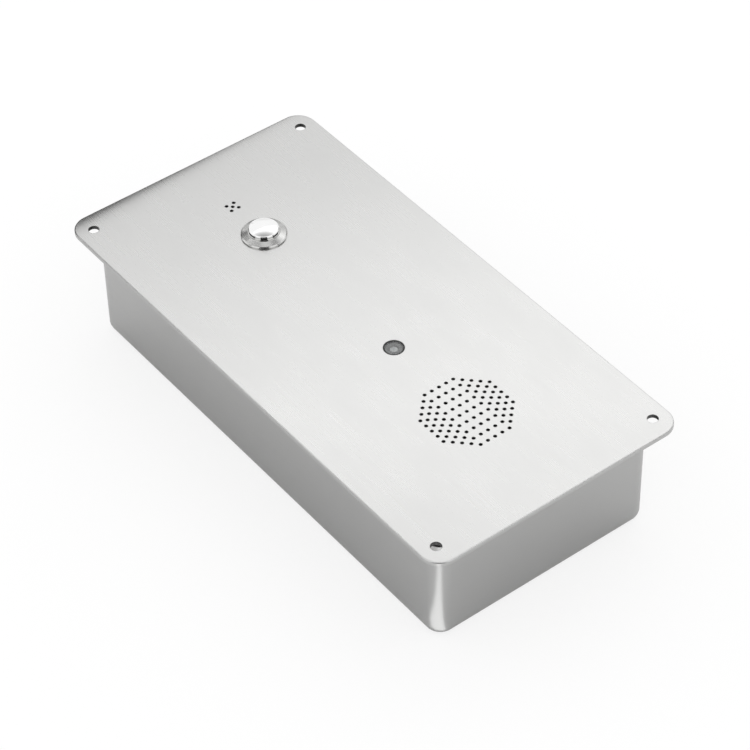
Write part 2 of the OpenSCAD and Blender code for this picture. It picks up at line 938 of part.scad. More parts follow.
// Half section of the pressed basket, from its foot to its flange
module basket_section() {
    polygon([
        [coil_r + 2 * pole_gap, -basket_depth],
        [basket_foot_r, -basket_depth],
        [foam_bore_r, -basket_t],
        [foam_bore_r + foam_w, -basket_t],
        [foam_bore_r + foam_w, 0],
        [foam_bore_r - basket_t / 2, 0],
        [basket_foot_r - basket_t / 2, basket_t - basket_depth],
        [coil_r + 2 * pole_gap, basket_t - basket_depth]
    ]);
}

module speaker_basket() {
    arms = 4;
    arm_angle = 36;
    color("slategray")
        translate([0, speaker_y, flange_z]) {
            difference() {
                rotate_extrude()
                    basket_section();
                for (k = [0:arms - 1])
                    rotate(360 * k / arms + arm_angle / 2)
                        rotate_extrude(angle = 360 / arms - arm_angle)
                            translate([basket_foot_r - 2 * basket_t, 2 * basket_t - basket_depth])
                                square([speaker_r, basket_depth - 4 * basket_t]);
            }
            translate([0, 0, -basket_t])
                linear_extrude(basket_t)
                    difference() {
                        rounded_rect(
                            2 * (ear_offset + stud_d),
                            2 * (ear_offset + stud_d),
                            speaker_corner_r
                        );
                        circle(foam_bore_r + foam_w / 2);
                        for (i = [-1, 1], j = [-1, 1])
                            translate([i, j] * ear_offset)
                                circle(stud_d / 2 + hole_gap);
                    }
        }
}

// Half section of the moving paper parts: dust cap, cone, half-roll surround and glued rim
module cone_section() {
    steps = 12;
    apex_z = coil_top_z - flange_z;
    ball_r = (coil_r * coil_r + dust_cap_h * dust_cap_h) / (2 * dust_cap_h);
    ball = [0, apex_z + dust_cap_h - ball_r];
    roll = [surround_mid_r, 0];
    upper_r = surround_r + cone_t / 2;
    lower_r = surround_r - cone_t / 2;
    polygon(concat(
        arc(ball, ball_r, 90, acos(coil_r / ball_r), steps),
        arc(roll, upper_r, 180, asin(cone_t / upper_r), steps),
        [[speaker_r, cone_t], [speaker_r, 0]],
        arc(roll, lower_r, 0, 180, steps),
        [[coil_r, apex_z - cone_t], [coil_r - cone_t, apex_z - cone_t]],
        arc(ball, ball_r - cone_t, acos((coil_r - cone_t) / (ball_r - cone_t)), 90, steps)
    ));
}

module speaker_cone() {
    color("darkslategray")
        translate([0, speaker_y, flange_z])
            rotate_extrude()
                cone_section();
}

module voice_coil() {
    former_l = coil_top_z - cone_t - magnet_top_z;
    color("peru")
        translate([0, speaker_y, coil_top_z - cone_t - former_l])
            ring(coil_r, coil_r - cone_t, former_l);
}

// Half section of the corrugated cloth ring that keeps the coil in the middle of its gap
module spider_section() {
    waves = 3;
    steps = 24;
    outer_r = basket_foot_r - basket_t;
    wavy_w = outer_r - coil_r - 2 * basket_t;
    foot_z = basket_t - basket_depth;
    lower = concat(
        [
            for (i = [0:steps])
                [coil_r + wavy_w * i / steps, foot_z + cone_t * (3 + sin(360 * waves * i / steps))]
        ],
        [[outer_r - basket_t, foot_z], [outer_r, foot_z]]
    );
    polygon(concat(
        [for (p = lower) p + [0, cone_t]],
        [for (i = [len(lower) - 1:-1:0]) lower[i]]
    ));
}

module speaker_spider() {
    color("sienna")
        translate([0, speaker_y, flange_z])
            rotate_extrude()
                spider_section();
}

module speaker_magnet() {
    color("black")
        translate([0, speaker_y, magnet_foot_z])
            ring(magnet_d / 2, coil_r + 2 * pole_gap + cone_t, magnet_t);
}

// The front pole plate, and the back plate with its centre pole
module speaker_yoke() {
    pole_r = coil_r - cone_t - pole_gap / 2;
    plate_r = magnet_d / 2 - cone_t;
    color("silver")
        translate([0, speaker_y, 0]) {
            translate([0, 0, magnet_top_z])
                ring(plate_r, coil_r + pole_gap / 2, pole_plate_t);
            translate([0, 0, magnet_foot_z - pole_plate_t])
                cylinder(h = pole_plate_t, r = plate_r);
            translate([0, 0, magnet_foot_z])
                cylinder(h = magnet_t + pole_plate_t, r = pole_r);
        }
}

// A small board standing on the flange's edge, with two solder tags
module speaker_terminals() {
    tag_l = terminal_tab_t * 3;
    color("saddlebrown")
        translate([0, speaker_y, flange_z - basket_t - terminal_tab_w])
            translate([speaker_r - terminal_tab_t, -terminal_tab_w / 2, 0])
                cube([terminal_tab_t, terminal_tab_w, terminal_tab_w]);
    color("goldenrod")
        translate([speaker_r, speaker_y, flange_z - basket_t - terminal_tab_w])
            for (i = [-1, 1])
                translate([0, i * lead_pitch - lead_d / 2, terminal_tab_t - tag_l])
                    cube([terminal_tab_t / 2, lead_d, terminal_tab_w / 2 + tag_l]);
}

module speaker_leads() {
    color("black")
        lead_pair(
            [
                speaker_r + terminal_tab_t / 4,
                speaker_y,
                flange_z - basket_t - terminal_tab_w - terminal_tab_t * 2
            ],
            [0, 2 * lead_pitch, 0],
            basket_depth,
            [speaker_header_x, board_front_y - header_w / 2, header_foot_z],
            [0, -lead_pitch, 0],
            basket_depth
        );
}

// Camera

module window_seal() {
    color("black")
        translate([0, camera_y, 0])
            rotate_extrude()
                polygon([
                    [window_r, holder_top_z],
                    [holder_r, holder_top_z],
                    [holder_r, back_z],
                    [camera_hole_d / 2, back_z],
                    [camera_hole_d / 2, face_z - window_drop / 2],
                    [window_r, face_z - window_drop / 2]
                ]);
}

module camera_window() {
    color("lightsteelblue", 0.5)
        translate([0, camera_y, window_foot_z])
            cylinder(h = window_t, r = window_r);
}

module camera_lens() {
    ball_r = lens_d * 3 / 2;
    sag = ball_r - sqrt(ball_r * ball_r - lens_d * lens_d / 4);
    color("steelblue", 0.7)
        translate([0, camera_y, lens_rim_z - lens_d / 2])
            rotate_extrude() {
                square([lens_d / 2, lens_d / 2 - sag]);
                intersection() {
                    translate([0, lens_d / 2 - ball_r])
                        circle(ball_r);
                    translate([0, lens_d / 2 - sag])
                        square([lens_d / 2, sag]);
                }
            }
}

// The barrel's nose reaches up through the seal, and the window is bonded to its front
module lens_barrel() {
    barrel_foot_z = camera_board_z + sensor_t * 3;
    cone_r = lens_d / 2 + lens_cone_h;
    color("dimgray")
        translate([0, camera_y, 0])
            difference() {
                union() {
                    translate([0, 0, barrel_foot_z])
                        cylinder(h = holder_top_z - barrel_foot_z, d = lens_barrel_d);
                    translate([0, 0, barrel_foot_z])
                        cylinder(h = nose_top_z - barrel_foot_z, r = nose_r);
                }
                translate([0, 0, lens_rim_z - lens_d / 2])
                    cylinder(h = lens_d, d = lens_d);
                translate([0, 0, lens_rim_z])
                    cylinder(h = lens_cone_h, r1 = lens_d / 2, r2 = cone_r);
                translate([0, 0, nose_top_z])
                    cylinder(h = cut, r = cone_r);
                translate([0, 0, barrel_foot_z - cut])
                    cylinder(h = lens_rim_z - lens_d / 2 - barrel_foot_z + cut, d = lens_d * 3 / 4);
            }
}

module lens_holder() {
    foot_w = 2 * holder_r;
    foot_h = sensor_t * 3;
    color("black")
        translate([0, camera_y, camera_board_z])
            difference() {
                union() {
                    cylinder(h = holder_top_z - camera_board_z, r = holder_r);
                    translate([0, 0, foot_h / 2])
                        cube([foot_w, foot_w, foot_h], center = true);
                }
                translate([0, 0, foot_h])
                    cylinder(h = back_z, d = lens_barrel_d + 2 * fit_gap);
                translate([0, 0, -cut])
                    linear_extrude(foot_h + cut)
                        square(sensor_w + 2 * sensor_t, center = true);
            }
}

module image_sensor() {
    color("midnightblue")
        translate([0, camera_y, camera_board_z + sensor_t / 2])
            cube([sensor_w, sensor_w, sensor_t], center = true);
}

module camera_board() {
    color("seagreen")
        translate([0, camera_y, camera_board_z - board_t])
            linear_extrude(board_t)
                difference() {
                    square(camera_board_w, center = true);
                    for (i = [-1, 1], j = [-1, 1])
                        translate([i, j] * camera_hole_offset)
                            circle(stud_d / 2 + hole_gap);
                }
}

module camera_spacers() {
    color("gainsboro")
        translate([0, camera_y, camera_board_z])
            at_corners(camera_hole_offset, camera_hole_offset)
                hex_spacer(stud_nut_af, camera_spacer_l, stud_d / 2 + fit_gap, standoff_l * 3 / 4);
}

module camera_screws() {
    color("gray")
        translate([0, camera_y, camera_board_z - board_t])
            at_corners(camera_hole_offset, camera_hole_offset)
                pan_screw(stud_d, board_t + standoff_l / 2);
}

module camera_ribbon() {
    start = [0, camera_y - camera_board_w / 2, camera_board_z - board_t - header_h / 2];
    finish = [0, board_front_y, header_mid_z];
    stub = [0, ribbon_t, 0];
    slack = [0, start[1] - finish[1], 0];
    bend = curve(start - stub, start - slack, finish + slack, finish + stub, 16);
    color("white")
        sweep(
            concat([start], bend, [finish]),
            [
                [-ribbon_w, -ribbon_t] / 2,
                [ribbon_w, -ribbon_t] / 2,
                [ribbon_w, ribbon_t] / 2,
                [-ribbon_w, ribbon_t] / 2
            ],
            [1, 0, 0]
        );
}

// Microphone

module mic_boot() {
    chamber_r = (mic_pitch * sqrt(2) + mic_hole_d) / 2 + fit_gap;
    color("black")
        translate([0, mic_y, boot_foot_z])
            difference() {
                cylinder(h = back_z - boot_foot_z, r = boot_r);
                translate([0, 0, -cut])
                    cylinder(h = capsule_h + cut, d = capsule_d + 2 * fit_gap);
                cylinder(h = back_z, r = chamber_r);
            }
}

module mic_capsule() {
    pin_d = lead_d / 2;
    color("silver")
        translate([0, mic_y, boot_foot_z])
            difference() {
                cylinder(h = capsule_h, d = capsule_d);
                translate([0, 0, capsule_h - pin_d])
                    cylinder(h = pin_d + cut, d = capsule_d / 4);
            }
    color("goldenrod")
        for (i = [-1, 1])
            translate([0, mic_y + i * lead_pitch / 2, boot_foot_z - clamp_t - pin_d])
                cylinder(h = clamp_t + pin_d, d = pin_d);
}

module mic_clamp() {
    end_r = clamp_w / 2;
    color("silver")
        translate([0, mic_y, boot_foot_z - clamp_t])
            linear_extrude(clamp_t)
                difference() {
                    union() {
                        square([2 * clamp_hole_x, clamp_w], center = true);
                        for (i = [-1, 1])
                            translate([i * clamp_hole_x, 0])
                                circle(end_r);
                    }
                    for (i = [-1, 1])
                        translate([i * clamp_hole_x, 0])
                            circle(stud_d / 2 + hole_gap);
                    circle(capsule_d / 3);
                }
}

module mic_leads() {
    color("gray")
        lead_pair(
            [0, mic_y, boot_foot_z - clamp_t - lead_d / 2],
            [0, -lead_pitch, 0],
            capsule_h * 2,
            [mic_header_x, board_rear_y + header_l / 2, header_foot_z],
            [lead_pitch, 0, 0],
            capsule_d
        );
}

// Main board and what it carries

module at_board(shares) {
    translate([shares[0] * board_w / 2, board_y + shares[1] * board_l / 2, board_rear_z])
        mirror([0, 0, 1])
            children();
}

module main_board() {
    color("darkgreen")
        translate([0, board_y, board_rear_z])
            linear_extrude(board_t)
                difference() {
                    square([board_w, board_l], center = true);
                    for (i = [-1, 1], j = [-1, 1])
                        translate([i * board_hole_x, j * board_hole_y])
                            circle(stud_d / 2 + hole_gap);
                }
}

module board_standoffs() {
    color("gainsboro")
        translate([0, board_y, board_top_z])
            at_corners(board_hole_x, board_hole_y)
                hex_spacer(stud_nut_af, standoff_l, stud_d / 2 + fit_gap, standoff_l * 3 / 4);
}

module board_screws() {
    color("gray")
        translate([0, board_y, board_rear_z])
            at_corners(board_hole_x, board_hole_y)
                pan_screw(stud_d, board_t + standoff_l / 2);
}

module processor() {
    color("dimgray")
        at_board(processor_place_shares)
            translate([0, 0, processor_t / 2])
                cube([processor_w, processor_w, processor_t], center = true);
}

module memory_chips() {
    color("black")
        for (place_shares = chip_place_shares)
            at_board(place_shares)
                translate([0, 0, chip_t / 2])
                    cube([chip_l, chip_w, chip_t], center = true);
}

module capacitors() {
    groove = can_d / 16;
    color("navy")
        for (k = [0:len(can_place_shares) - 1])
            at_board(can_place_shares[k])
                difference() {
                    cylinder(h = can_h * can_size_shares[k], d = can_d * can_size_shares[k]);
                    translate([0, 0, groove * 2])
                        ring(can_d, can_d * can_size_shares[k] / 2 - groove, groove);
                }
}

// A wound core between two flanges
module transformer() {
    flange = transformer_h / 6;
    color("peru")
        at_board(transformer_place_shares) {
            for (z = [0, transformer_h - flange])
                translate([-transformer_w / 2, -transformer_w / 2, z])
                    cube([transformer_w, transformer_w, flange]);
            cylinder(h = transformer_h, d = transformer_w * 5 / 6);
        }
}

// The jack's mouth looks to the cable inlet, flush with the board's edge
module network_jack() {
    wall = jack_w / 8;
    place_x = jack_x - jack_w / 2;
    color("silver")
        translate([place_x, board_rear_y, board_rear_z - jack_h])
            difference() {
                cube([jack_w, jack_l, jack_h]);
                translate([wall, -cut, wall * 2])
                    cube([jack_w - 2 * wall, jack_l - wall * 2 + cut, jack_h - wall * 4]);
                translate([jack_w / 2 - wall * 3 / 2, -cut, wall])
                    cube([wall * 3, jack_l - wall * 2 + cut, wall + cut]);
            }
}

module terminal_block() {
    entry = terminal_pitch * 3 / 5;
    place_x = terminal_x - terminal_w / 2;
    color("limegreen")
        translate([place_x, board_rear_y, board_rear_z - terminal_h])
            difference() {
                cube([terminal_w, terminal_l, terminal_h]);
                for (k = [0:terminal_ways - 1])
                    translate([(k + 1 / 2) * terminal_pitch, 0, 0]) {
                        translate([-entry / 2, -cut, entry * 2])
                            cube([entry, terminal_l / 2 + cut, entry]);
                        translate([0, terminal_l / 2, -cut])
                            cylinder(h = cut + entry, d = entry * 6 / 5);
                    }
            }
}

// A plug and its socket in one block, hanging under a board whose rear face is at z
module header(x, y, z, w, l) {
    translate([x - w / 2, y, z - header_h])
        cube([w, l, header_h]);
}

module lead_headers() {
    ribbon_y = board_front_y - header_l;
    speaker_header_y = board_front_y - header_w;
    color("ivory") {
        header(button_header_x, board_rear_y, board_rear_z, header_w, header_l);
        header(mic_header_x, board_rear_y, board_rear_z, header_w, header_l);
        header(speaker_header_x, speaker_header_y, board_rear_z, header_l, header_w);
        header(0, ribbon_y, board_rear_z, ribbon_w, header_l);
        header(0, camera_y - camera_board_w / 2, camera_board_z - board_t, ribbon_w, header_l);
    }
}

face_plate();
plate_studs();
stud_nuts();
box_gasket();
back_box();
box_pillars();
box_screws();
cable_grommet();
button_body();
button_seal();
button_washer();
button_nut();
button_cap();
contact_bridge();
button_spring();
contact_block();
button_terminals();
button_leads();
speaker_mesh();
speaker_foam();
speaker_basket();
speaker_cone();
voice_coil();
speaker_spider();
speaker_magnet();
speaker_yoke();
speaker_terminals();
speaker_leads();
window_seal();
camera_window();
camera_lens();
lens_barrel();
lens_holder();
image_sensor();
camera_board();
camera_spacers();
camera_screws();
camera_ribbon();
mic_boot();
mic_capsule();
mic_clamp();
mic_leads();
main_board();
board_standoffs();
board_screws();
processor();
memory_chips();
capacitors();
transformer();
network_jack();
terminal_block();
lead_headers();
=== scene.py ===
import math

import bpy
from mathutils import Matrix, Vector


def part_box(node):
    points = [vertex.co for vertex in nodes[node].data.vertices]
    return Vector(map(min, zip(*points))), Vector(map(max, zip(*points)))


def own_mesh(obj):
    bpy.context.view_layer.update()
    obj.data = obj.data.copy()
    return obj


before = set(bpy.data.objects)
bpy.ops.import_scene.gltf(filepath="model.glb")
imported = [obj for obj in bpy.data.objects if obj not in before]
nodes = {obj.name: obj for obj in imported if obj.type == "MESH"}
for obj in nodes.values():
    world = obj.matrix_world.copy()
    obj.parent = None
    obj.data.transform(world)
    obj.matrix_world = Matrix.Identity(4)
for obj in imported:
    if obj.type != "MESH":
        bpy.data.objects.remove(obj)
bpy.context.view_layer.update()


# ---- Camera, table and studio light ---------------------------------------------------------
# The intercom lies on its back on a white table in a white tent, seen from above its lower right
# corner with a long lens. Grey cards around the tent give the steel its tones.

MM = 0.001
white = (1, 1, 1, 1)
scene = bpy.context.scene

camera = bpy.data.objects.new("camera", bpy.data.cameras.new("camera"))
camera.location = (0.5762, 0.7776, 0.9642)
camera.rotation_euler = [math.radians(turn) for turn in (45.917, 0.920, 142.278)]
camera.data.sensor_width = 36
camera.data.lens = 138.4
camera.data.dof.use_dof = False
scene.collection.objects.link(camera)
scene.camera = camera
scene.view_settings.view_transform = "Standard"


def add(tree, kind, feeds=None, **settings):
    """A shader node with its settings; feeds gives each input a value or another node's output."""
    made = tree.nodes.new(kind)
    for name, value in settings.items():
        setattr(made, name, value)
    for name, value in (feeds or {}).items():
        if isinstance(value, bpy.types.NodeSocket):
            tree.links.new(value, made.inputs[name])
        else:
            made.inputs[name].default_value = value
    return made


def bare_tree(holder):
    """The emptied shader tree of a material or a world."""
    holder.use_nodes = True
    holder.node_tree.nodes.clear()
    return holder.node_tree


tent = bpy.data.worlds.new("white_tent")
tree = bare_tree(tent)
light = add(tree, "ShaderNodeBackground", {"Color": white, "Strength": 1.0})
add(tree, "ShaderNodeOutputWorld", {"Surface": light.outputs[0]})
scene.world = tent


def studio_sheet(name, corners, faces):
    """A sheet of the studio, which isn't part of the object."""
    mesh = bpy.data.meshes.new(name)
    mesh.from_pydata(corners, [], faces)
    sheet = bpy.data.objects.new(name, mesh)
    scene.collection.objects.link(sheet)
    return sheet


def level_sheet(name, width, length, place):
    """A rectangular sheet that lies level, face up."""
    x, y = width / 2, length / 2
    sheet = studio_sheet(name, [(-x, -y, 0), (x, -y, 0), (x, y, 0), (-x, y, 0)], [(0, 1, 2, 3)])
    sheet.location = place
    return sheet


def math_node(tree, operation, *values):
    """A calculation with numbers or other nodes' outputs."""
    return add(tree, "ShaderNodeMath", dict(enumerate(values)), operation=operation).outputs[0]


# A mix node's sockets for colours: two go in, and one comes out.
FIRST_COLOUR, SECOND_COLOUR, MIXED_COLOUR = 6, 7, 2


def tones(tree, share, dark, light):
    """A colour between dark and light, which are colours or other nodes' outputs."""
    dark, light = [
        colour if isinstance(colour, bpy.types.NodeSocket) else (*colour, 1)
        for colour in (dark, light)
    ]
    ends = {0: share, FIRST_COLOUR: dark, SECOND_COLOUR: light}
    return add(tree, "ShaderNodeMix", ends, data_type="RGBA").outputs[MIXED_COLOUR]


# The table is white to the eye, and part of that white doesn't depend on the light that falls
# on it, so the shadow under the face plate's overhang stays faint.
shadow_share = 0.22
table_size, table_drop = 8, 0.2 * MM
table = level_sheet("table", table_size, table_size, (0, 0, -table_drop))
table_white = bpy.data.materials.new("table_white")
table.data.materials.append(table_white)
tree = bare_tree(table_white)
path = add(tree, "ShaderNodeLightPath").outputs
mirrored = math_node(tree, "MAXIMUM", path["Is Glossy Ray"], path["Is Transmission Ray"])
seen = math_node(tree, "MAXIMUM", path["Is Camera Ray"], mirrored)
paint = tones(tree, seen, (0.80, 0.80, 0.80), (1, 1, 1))
cover = add(tree, "ShaderNodeBsdfDiffuse", {"Color": paint})
glow = add(tree, "ShaderNodeEmission", {"Color": white, "Strength": 1.0})
share = math_node(tree, "MULTIPLY", path["Is Camera Ray"], 1 - shadow_share)
lit = add(tree, "ShaderNodeMixShader", {0: share, 1: cover.outputs[0], 2: glow.outputs[0]})
# From below, and for the box's floor just above it, the table is clear, so that floor shows.
below = add(tree, "ShaderNodeNewGeometry").outputs["Backfacing"]
touching = math_node(tree, "LESS_THAN", path["Ray Length"], 5 * table_drop)
clear = math_node(tree, "MAXIMUM", below, touching)
open_air = add(tree, "ShaderNodeBsdfTransparent", {"Color": white})
surface = add(tree, "ShaderNodeMixShader", {0: clear, 1: lit.outputs[0], 2: open_air.outputs[0]})
add(tree, "ShaderNodeOutputMaterial", {"Surface": surface.outputs[0]})


eye_turn = math.atan2(camera.location.y, camera.location.x)
cap_low, cap_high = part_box("button_cap")
button_top = Vector((0, (cap_low.y + cap_high.y) / 2, cap_high.z))


def studio_place(turn, rise, away):
    """A place seen from the button: turn to the right of the far side and rise, both in degrees."""
    angle = eye_turn + math.pi - math.radians(turn)
    level = away * math.cos(math.radians(rise))
    return button_top + Vector(
        (level * math.cos(angle), level * math.sin(angle), away * math.sin(math.radians(rise)))
    )


# The soft box stands beyond the intercom, where the plate mirrors it from its speaker end down
# to the button, and brightens that part.
soft_box_w, soft_box_h, soft_box_glow = 0.9, 0.75, 0.28
soft_box_rise, soft_box_away, soft_box_right, soft_box_tilt = 43, 1.0, 0.1, math.radians(-30)
soft_box = bpy.data.objects.new("soft_box", bpy.data.lights.new("soft_box", "AREA"))
soft_box.data.shape = "RECTANGLE"
soft_box.data.size = soft_box_w
soft_box.data.size_y = soft_box_h
soft_box.data.energy = 4 * soft_box_glow * soft_box_w * soft_box_h
outward = (studio_place(0, soft_box_rise, 1) - button_top).normalized()
to_right = outward.cross(Vector((0, 0, 1))).normalized()
rightward = math.cos(soft_box_tilt) * to_right + math.sin(soft_box_tilt) * to_right.cross(outward)
upward = rightward.cross(outward)
soft_box.location = (
    button_top + soft_box_away * outward + (soft_box_h / 2) * upward + soft_box_right * rightward
)
soft_box.rotation_euler = Matrix((-rightward, upward, outward)).transposed().to_euler()
scene.collection.objects.link(soft_box)


def only_mirrored(sheet):
    """Only shiny surfaces show the sheet from now on; gives its paint's empty tree."""
    sheet.visible_camera = sheet.visible_diffuse = sheet.visible_shadow = False
    sheet.visible_transmission = False
    paint = bpy.data.materials.new(sheet.name)
    sheet.data.materials.append(paint)
    return bare_tree(paint)


def glow_with(tree, colour, strength=1.0):
    """A sheet's paint that glows with a colour or another node's output."""
    glow = add(tree, "ShaderNodeEmission", {"Color": colour, "Strength": strength})
    add(tree, "ShaderNodeOutputMaterial", {"Surface": glow.outputs[0]})


def vector_node(tree, operation, *values):
    """A calculation with places or directions; a length or a dot product comes out as a number."""
    made = add(tree, "ShaderNodeVectorMath", dict(enumerate(values)), operation=operation)
    return made.outputs["Value" if operation in ("LENGTH", "DOT_PRODUCT") else "Vector"]


def split(tree, place):
    """A place's or a direction's X, Y and Z."""
    return add(tree, "ShaderNodeSeparateXYZ", {0: place}).outputs


def ranged(tree, value, low, high, spread=(0.3, 0.7)):
    """The value, which lies mostly within spread, taken from low to high."""
    return add(tree, "ShaderNodeMapRange", {
        "Value": value, "From Min": spread[0], "From Max": spread[1], "To Min": low, "To Max": high,
    }).outputs[0]


def studio_card(name, turns, rises, levels, away=2.2):
    """A curved card round the intercom, between two turns and two rises; levels are its greys
    from its lower to its upper edge, evenly spaced."""
    steps = 12
    corners, faces = [], []
    for row in range(steps + 1):
        for column in range(steps + 1):
            turn = turns[0] + (turns[1] - turns[0]) * column / steps
            rise = rises[0] + (rises[1] - rises[0]) * row / steps
            corners.append(studio_place(turn, rise, away))
    for row in range(steps):
        for column in range(steps):
            first = row * (steps + 1) + column
            faces.append((first, first + 1, first + steps + 2, first + steps + 1))
    tree = only_mirrored(studio_sheet(name, corners, faces))
    place = add(tree, "ShaderNodeNewGeometry").outputs["Position"]
    direction = vector_node(tree, "NORMALIZE", vector_node(tree, "SUBTRACT", place, button_top))
    rise = math_node(tree, "ARCSINE", split(tree, direction)["Z"])
    share = ranged(tree, rise, 0, 1, (math.radians(rises[0]), math.radians(rises[1])))
    ramp = add(tree, "ShaderNodeValToRGB", {"Fac": share})
    stops = ramp.color_ramp.elements
    for spot in range(1, len(levels) - 1):
        stops.new(spot / (len(levels) - 1))
    for stop, level in zip(stops, levels):
        stop.color = (level, level, level, 1)
    glow_with(tree, ramp.outputs[0])


# The ceiling is darker than the walls, and the room is dim on the left and behind the camera.
studio_card("ceiling", (-38, 60), (50.5, 77), (0.95, 0.34, 0.03, 0.05, 0.75), 2.6)
studio_card("far_card", (-60, 60), (0, 24), (0.30, 0.42, 0.75, 1.0))
studio_card("left_card", (-62, -24), (8, 42), (0.18, 0.20, 0.30))
studio_card("left_back_card", (-45, -14), (6, 27), (0.20, 0.20))
studio_card("left_front_card", (-112, -42), (36, 51), (0.05, 0.05))
studio_card("left_low_card", (-120, -60), (0, 8), (0.20, 0.20))
studio_card("right_card", (15, 50), (8, 40), (0.38, 0.46, 0.70))
studio_card("right_front_card", (46, 112), (36, 51), (0.05, 0.05))
studio_card("right_low_card", (60, 120), (0, 8), (0.20, 0.20))
studio_card("camera_card", (154, 206), (0, 56), (0.03, 0.03))

# A low dark card stands close to the plate's lower end, and the plate mirrors it there as a dark
# band, which is wider on the camera's left.
plate_low, plate_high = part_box("face_plate")
edge_gap, past_plate, below_face = 9 * MM, 12 * MM, 4 * MM
left_rise, right_rise = 14 * MM, 7.5 * MM
card_y, card_foot = plate_low.y - edge_gap, plate_high.z - below_face
left_x, right_x = plate_high.x + past_plate, plate_low.x - past_plate
edge_card = studio_sheet("edge_card", [
    (left_x, card_y, card_foot), (right_x, card_y, card_foot),
    (right_x, card_y, plate_high.z + right_rise), (left_x, card_y, plate_high.z + left_rise),
], [(0, 1, 2, 3)])
glow_with(only_mirrored(edge_card), (0.03, 0.03, 0.03, 1))

# A narrow pale strip points away from the box's near corner, and the corner mirrors it.
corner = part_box("back_box")[1]
strip_w, strip_l, strip_glow = 20 * MM, 160 * MM, 1.8
strip = level_sheet("strip", strip_w, strip_l, (corner.x + 50 * MM, corner.y + 60 * MM, 1 * MM))
strip.rotation_euler.z = eye_turn - math.pi / 2
glow_with(only_mirrored(strip), white, strip_glow)


# ---- Face plate -----------------------------------------------------------------------------
# One flat sheet of 2 mm stainless steel, punched, and brushed along its length. Its upper edge
# is rounded by the finishing belt. Four plain corner holes take the wall screws.


def new_group(name, takes, gives):
    """A shader group with plain inputs (name, value) and outputs (name, Float or Vector)."""
    group = bpy.data.node_groups.new(name, "ShaderNodeTree")
    for label, value in takes:
        kind = "NodeSocketVector" if isinstance(value, tuple) else "NodeSocketFloat"
        group.interface.new_socket(label, in_out="INPUT", socket_type=kind).default_value = value
    for label, kind in gives:
        group.interface.new_socket(label, in_out="OUTPUT", socket_type="NodeSocket" + kind)
    inlet, outlet = group.nodes.new("NodeGroupInput"), group.nodes.new("NodeGroupOutput")
    return group, inlet.outputs, outlet.inputs


def use(tree, group, **values):
    """The outputs of a shader group, placed in a material with its own values."""
    return add(tree, "ShaderNodeGroup", values, node_tree=group).outputs


def noise(tree, place, scale, detail=3.0, roughness=0.5):
    """Soft random patches, so many to the metre."""
    return add(tree, "ShaderNodeTexNoise", {
        "Vector": place, "Scale": scale, "Detail": detail, "Roughness": roughness,
    }).outputs["Fac"]


def placed(tree):
    """Where a point lies on the intercom at rest, in metres."""
    return add(tree, "ShaderNodeTexCoord").outputs["Object"]


def facing(tree):
    """The X, Y and Z of the way that the surface faces."""
    return split(tree, add(tree, "ShaderNodeNewGeometry").outputs["Normal"])


# Fine parallel lines of a sanding belt: long along the belt, thin across it.
brushing, takes, gives = new_group(
    "brushing", [("Place", (0.0, 0.0, 0.0)), ("Spread", (1.0, 1.0, 1.0))], [("Lines", "Float")]
)
stretched = vector_node(brushing, "MULTIPLY", takes["Place"], takes["Spread"])
brushing.links.new(noise(brushing, stretched, 1.0, 2.0, 0.55), gives["Lines"])

# Faint patches left by hands and cloths: Film is broad and soft, Smears are small and drawn out.
handling, takes, gives = new_group(
    "handling", [("Place", (0.0, 0.0, 0.0))], [("Film", "Float"), ("Smears", "Float")]
)
drawn_out = vector_node(handling, "MULTIPLY", takes["Place"], (90.0, 40.0, 60.0))
handling.links.new(noise(handling, takes["Place"], 14.0, 2.0, 0.45), gives["Film"])
handling.links.new(noise(handling, drawn_out, 1.0, 5.0, 0.6), gives["Smears"])

# Edges that touch has worn: 1 on a convex or concave edge within the reach, 0 elsewhere.
edge_wear, takes, gives = new_group(
    "edge_wear", [("Reach", 0.3 * MM)], [("Edges", "Float"), ("Rounded", "Vector")]
)
rounded = add(edge_wear, "ShaderNodeBevel", {"Radius": takes["Reach"]}, samples=4).outputs[0]
sharp = add(edge_wear, "ShaderNodeNewGeometry").outputs["Normal"]
likeness = vector_node(edge_wear, "DOT_PRODUCT", rounded, sharp)
edge_wear.links.new(ranged(edge_wear, likeness, 1, 0, (0.85, 0.99)), gives["Edges"])
edge_wear.links.new(rounded, gives["Rounded"])


def new_finish(name, **sockets):
    """A new material with a Principled shader whose plain sockets are set by name."""
    made = bpy.data.materials.new(name)
    made.use_nodes = True
    shader = made.node_tree.nodes["Principled BSDF"]
    for label, value in sockets.items():
        shader.inputs[label.replace("_", " ")].default_value = value
    return made, made.node_tree, shader


def feed(
    tree, shader, colour=None, roughness=None, height=None, depth=0.0, normal=None, metal=None
):
    """Joins a finish's varying values to its shader; depth is the bump's full height in metres."""
    for label, value in (("Base Color", colour), ("Roughness", roughness), ("Metallic", metal)):
        if value is not None:
            tree.links.new(value, shader.inputs[label])
    if height is not None:
        bump = add(tree, "ShaderNodeBump", {"Height": height, "Distance": depth})
        if normal is not None:
            tree.links.new(normal, bump.inputs["Normal"])
        tree.links.new(bump.outputs[0], shader.inputs["Normal"])


def dress(finish, *names):
    """Gives CAD nodes their finish in place of the plain one they came with."""
    for name in names:
        mesh = nodes[name].data
        mesh.materials.clear()
        mesh.materials.append(finish)


# How much the brushed lines and the film of touch dim satin steel, the bright tone of its worn
# edges, and the depth of its lines.
line_dim, film_dim, worn_bright, line_depth = 0.992, 0.98, (0.82, 0.82, 0.81), 0.0006 * MM


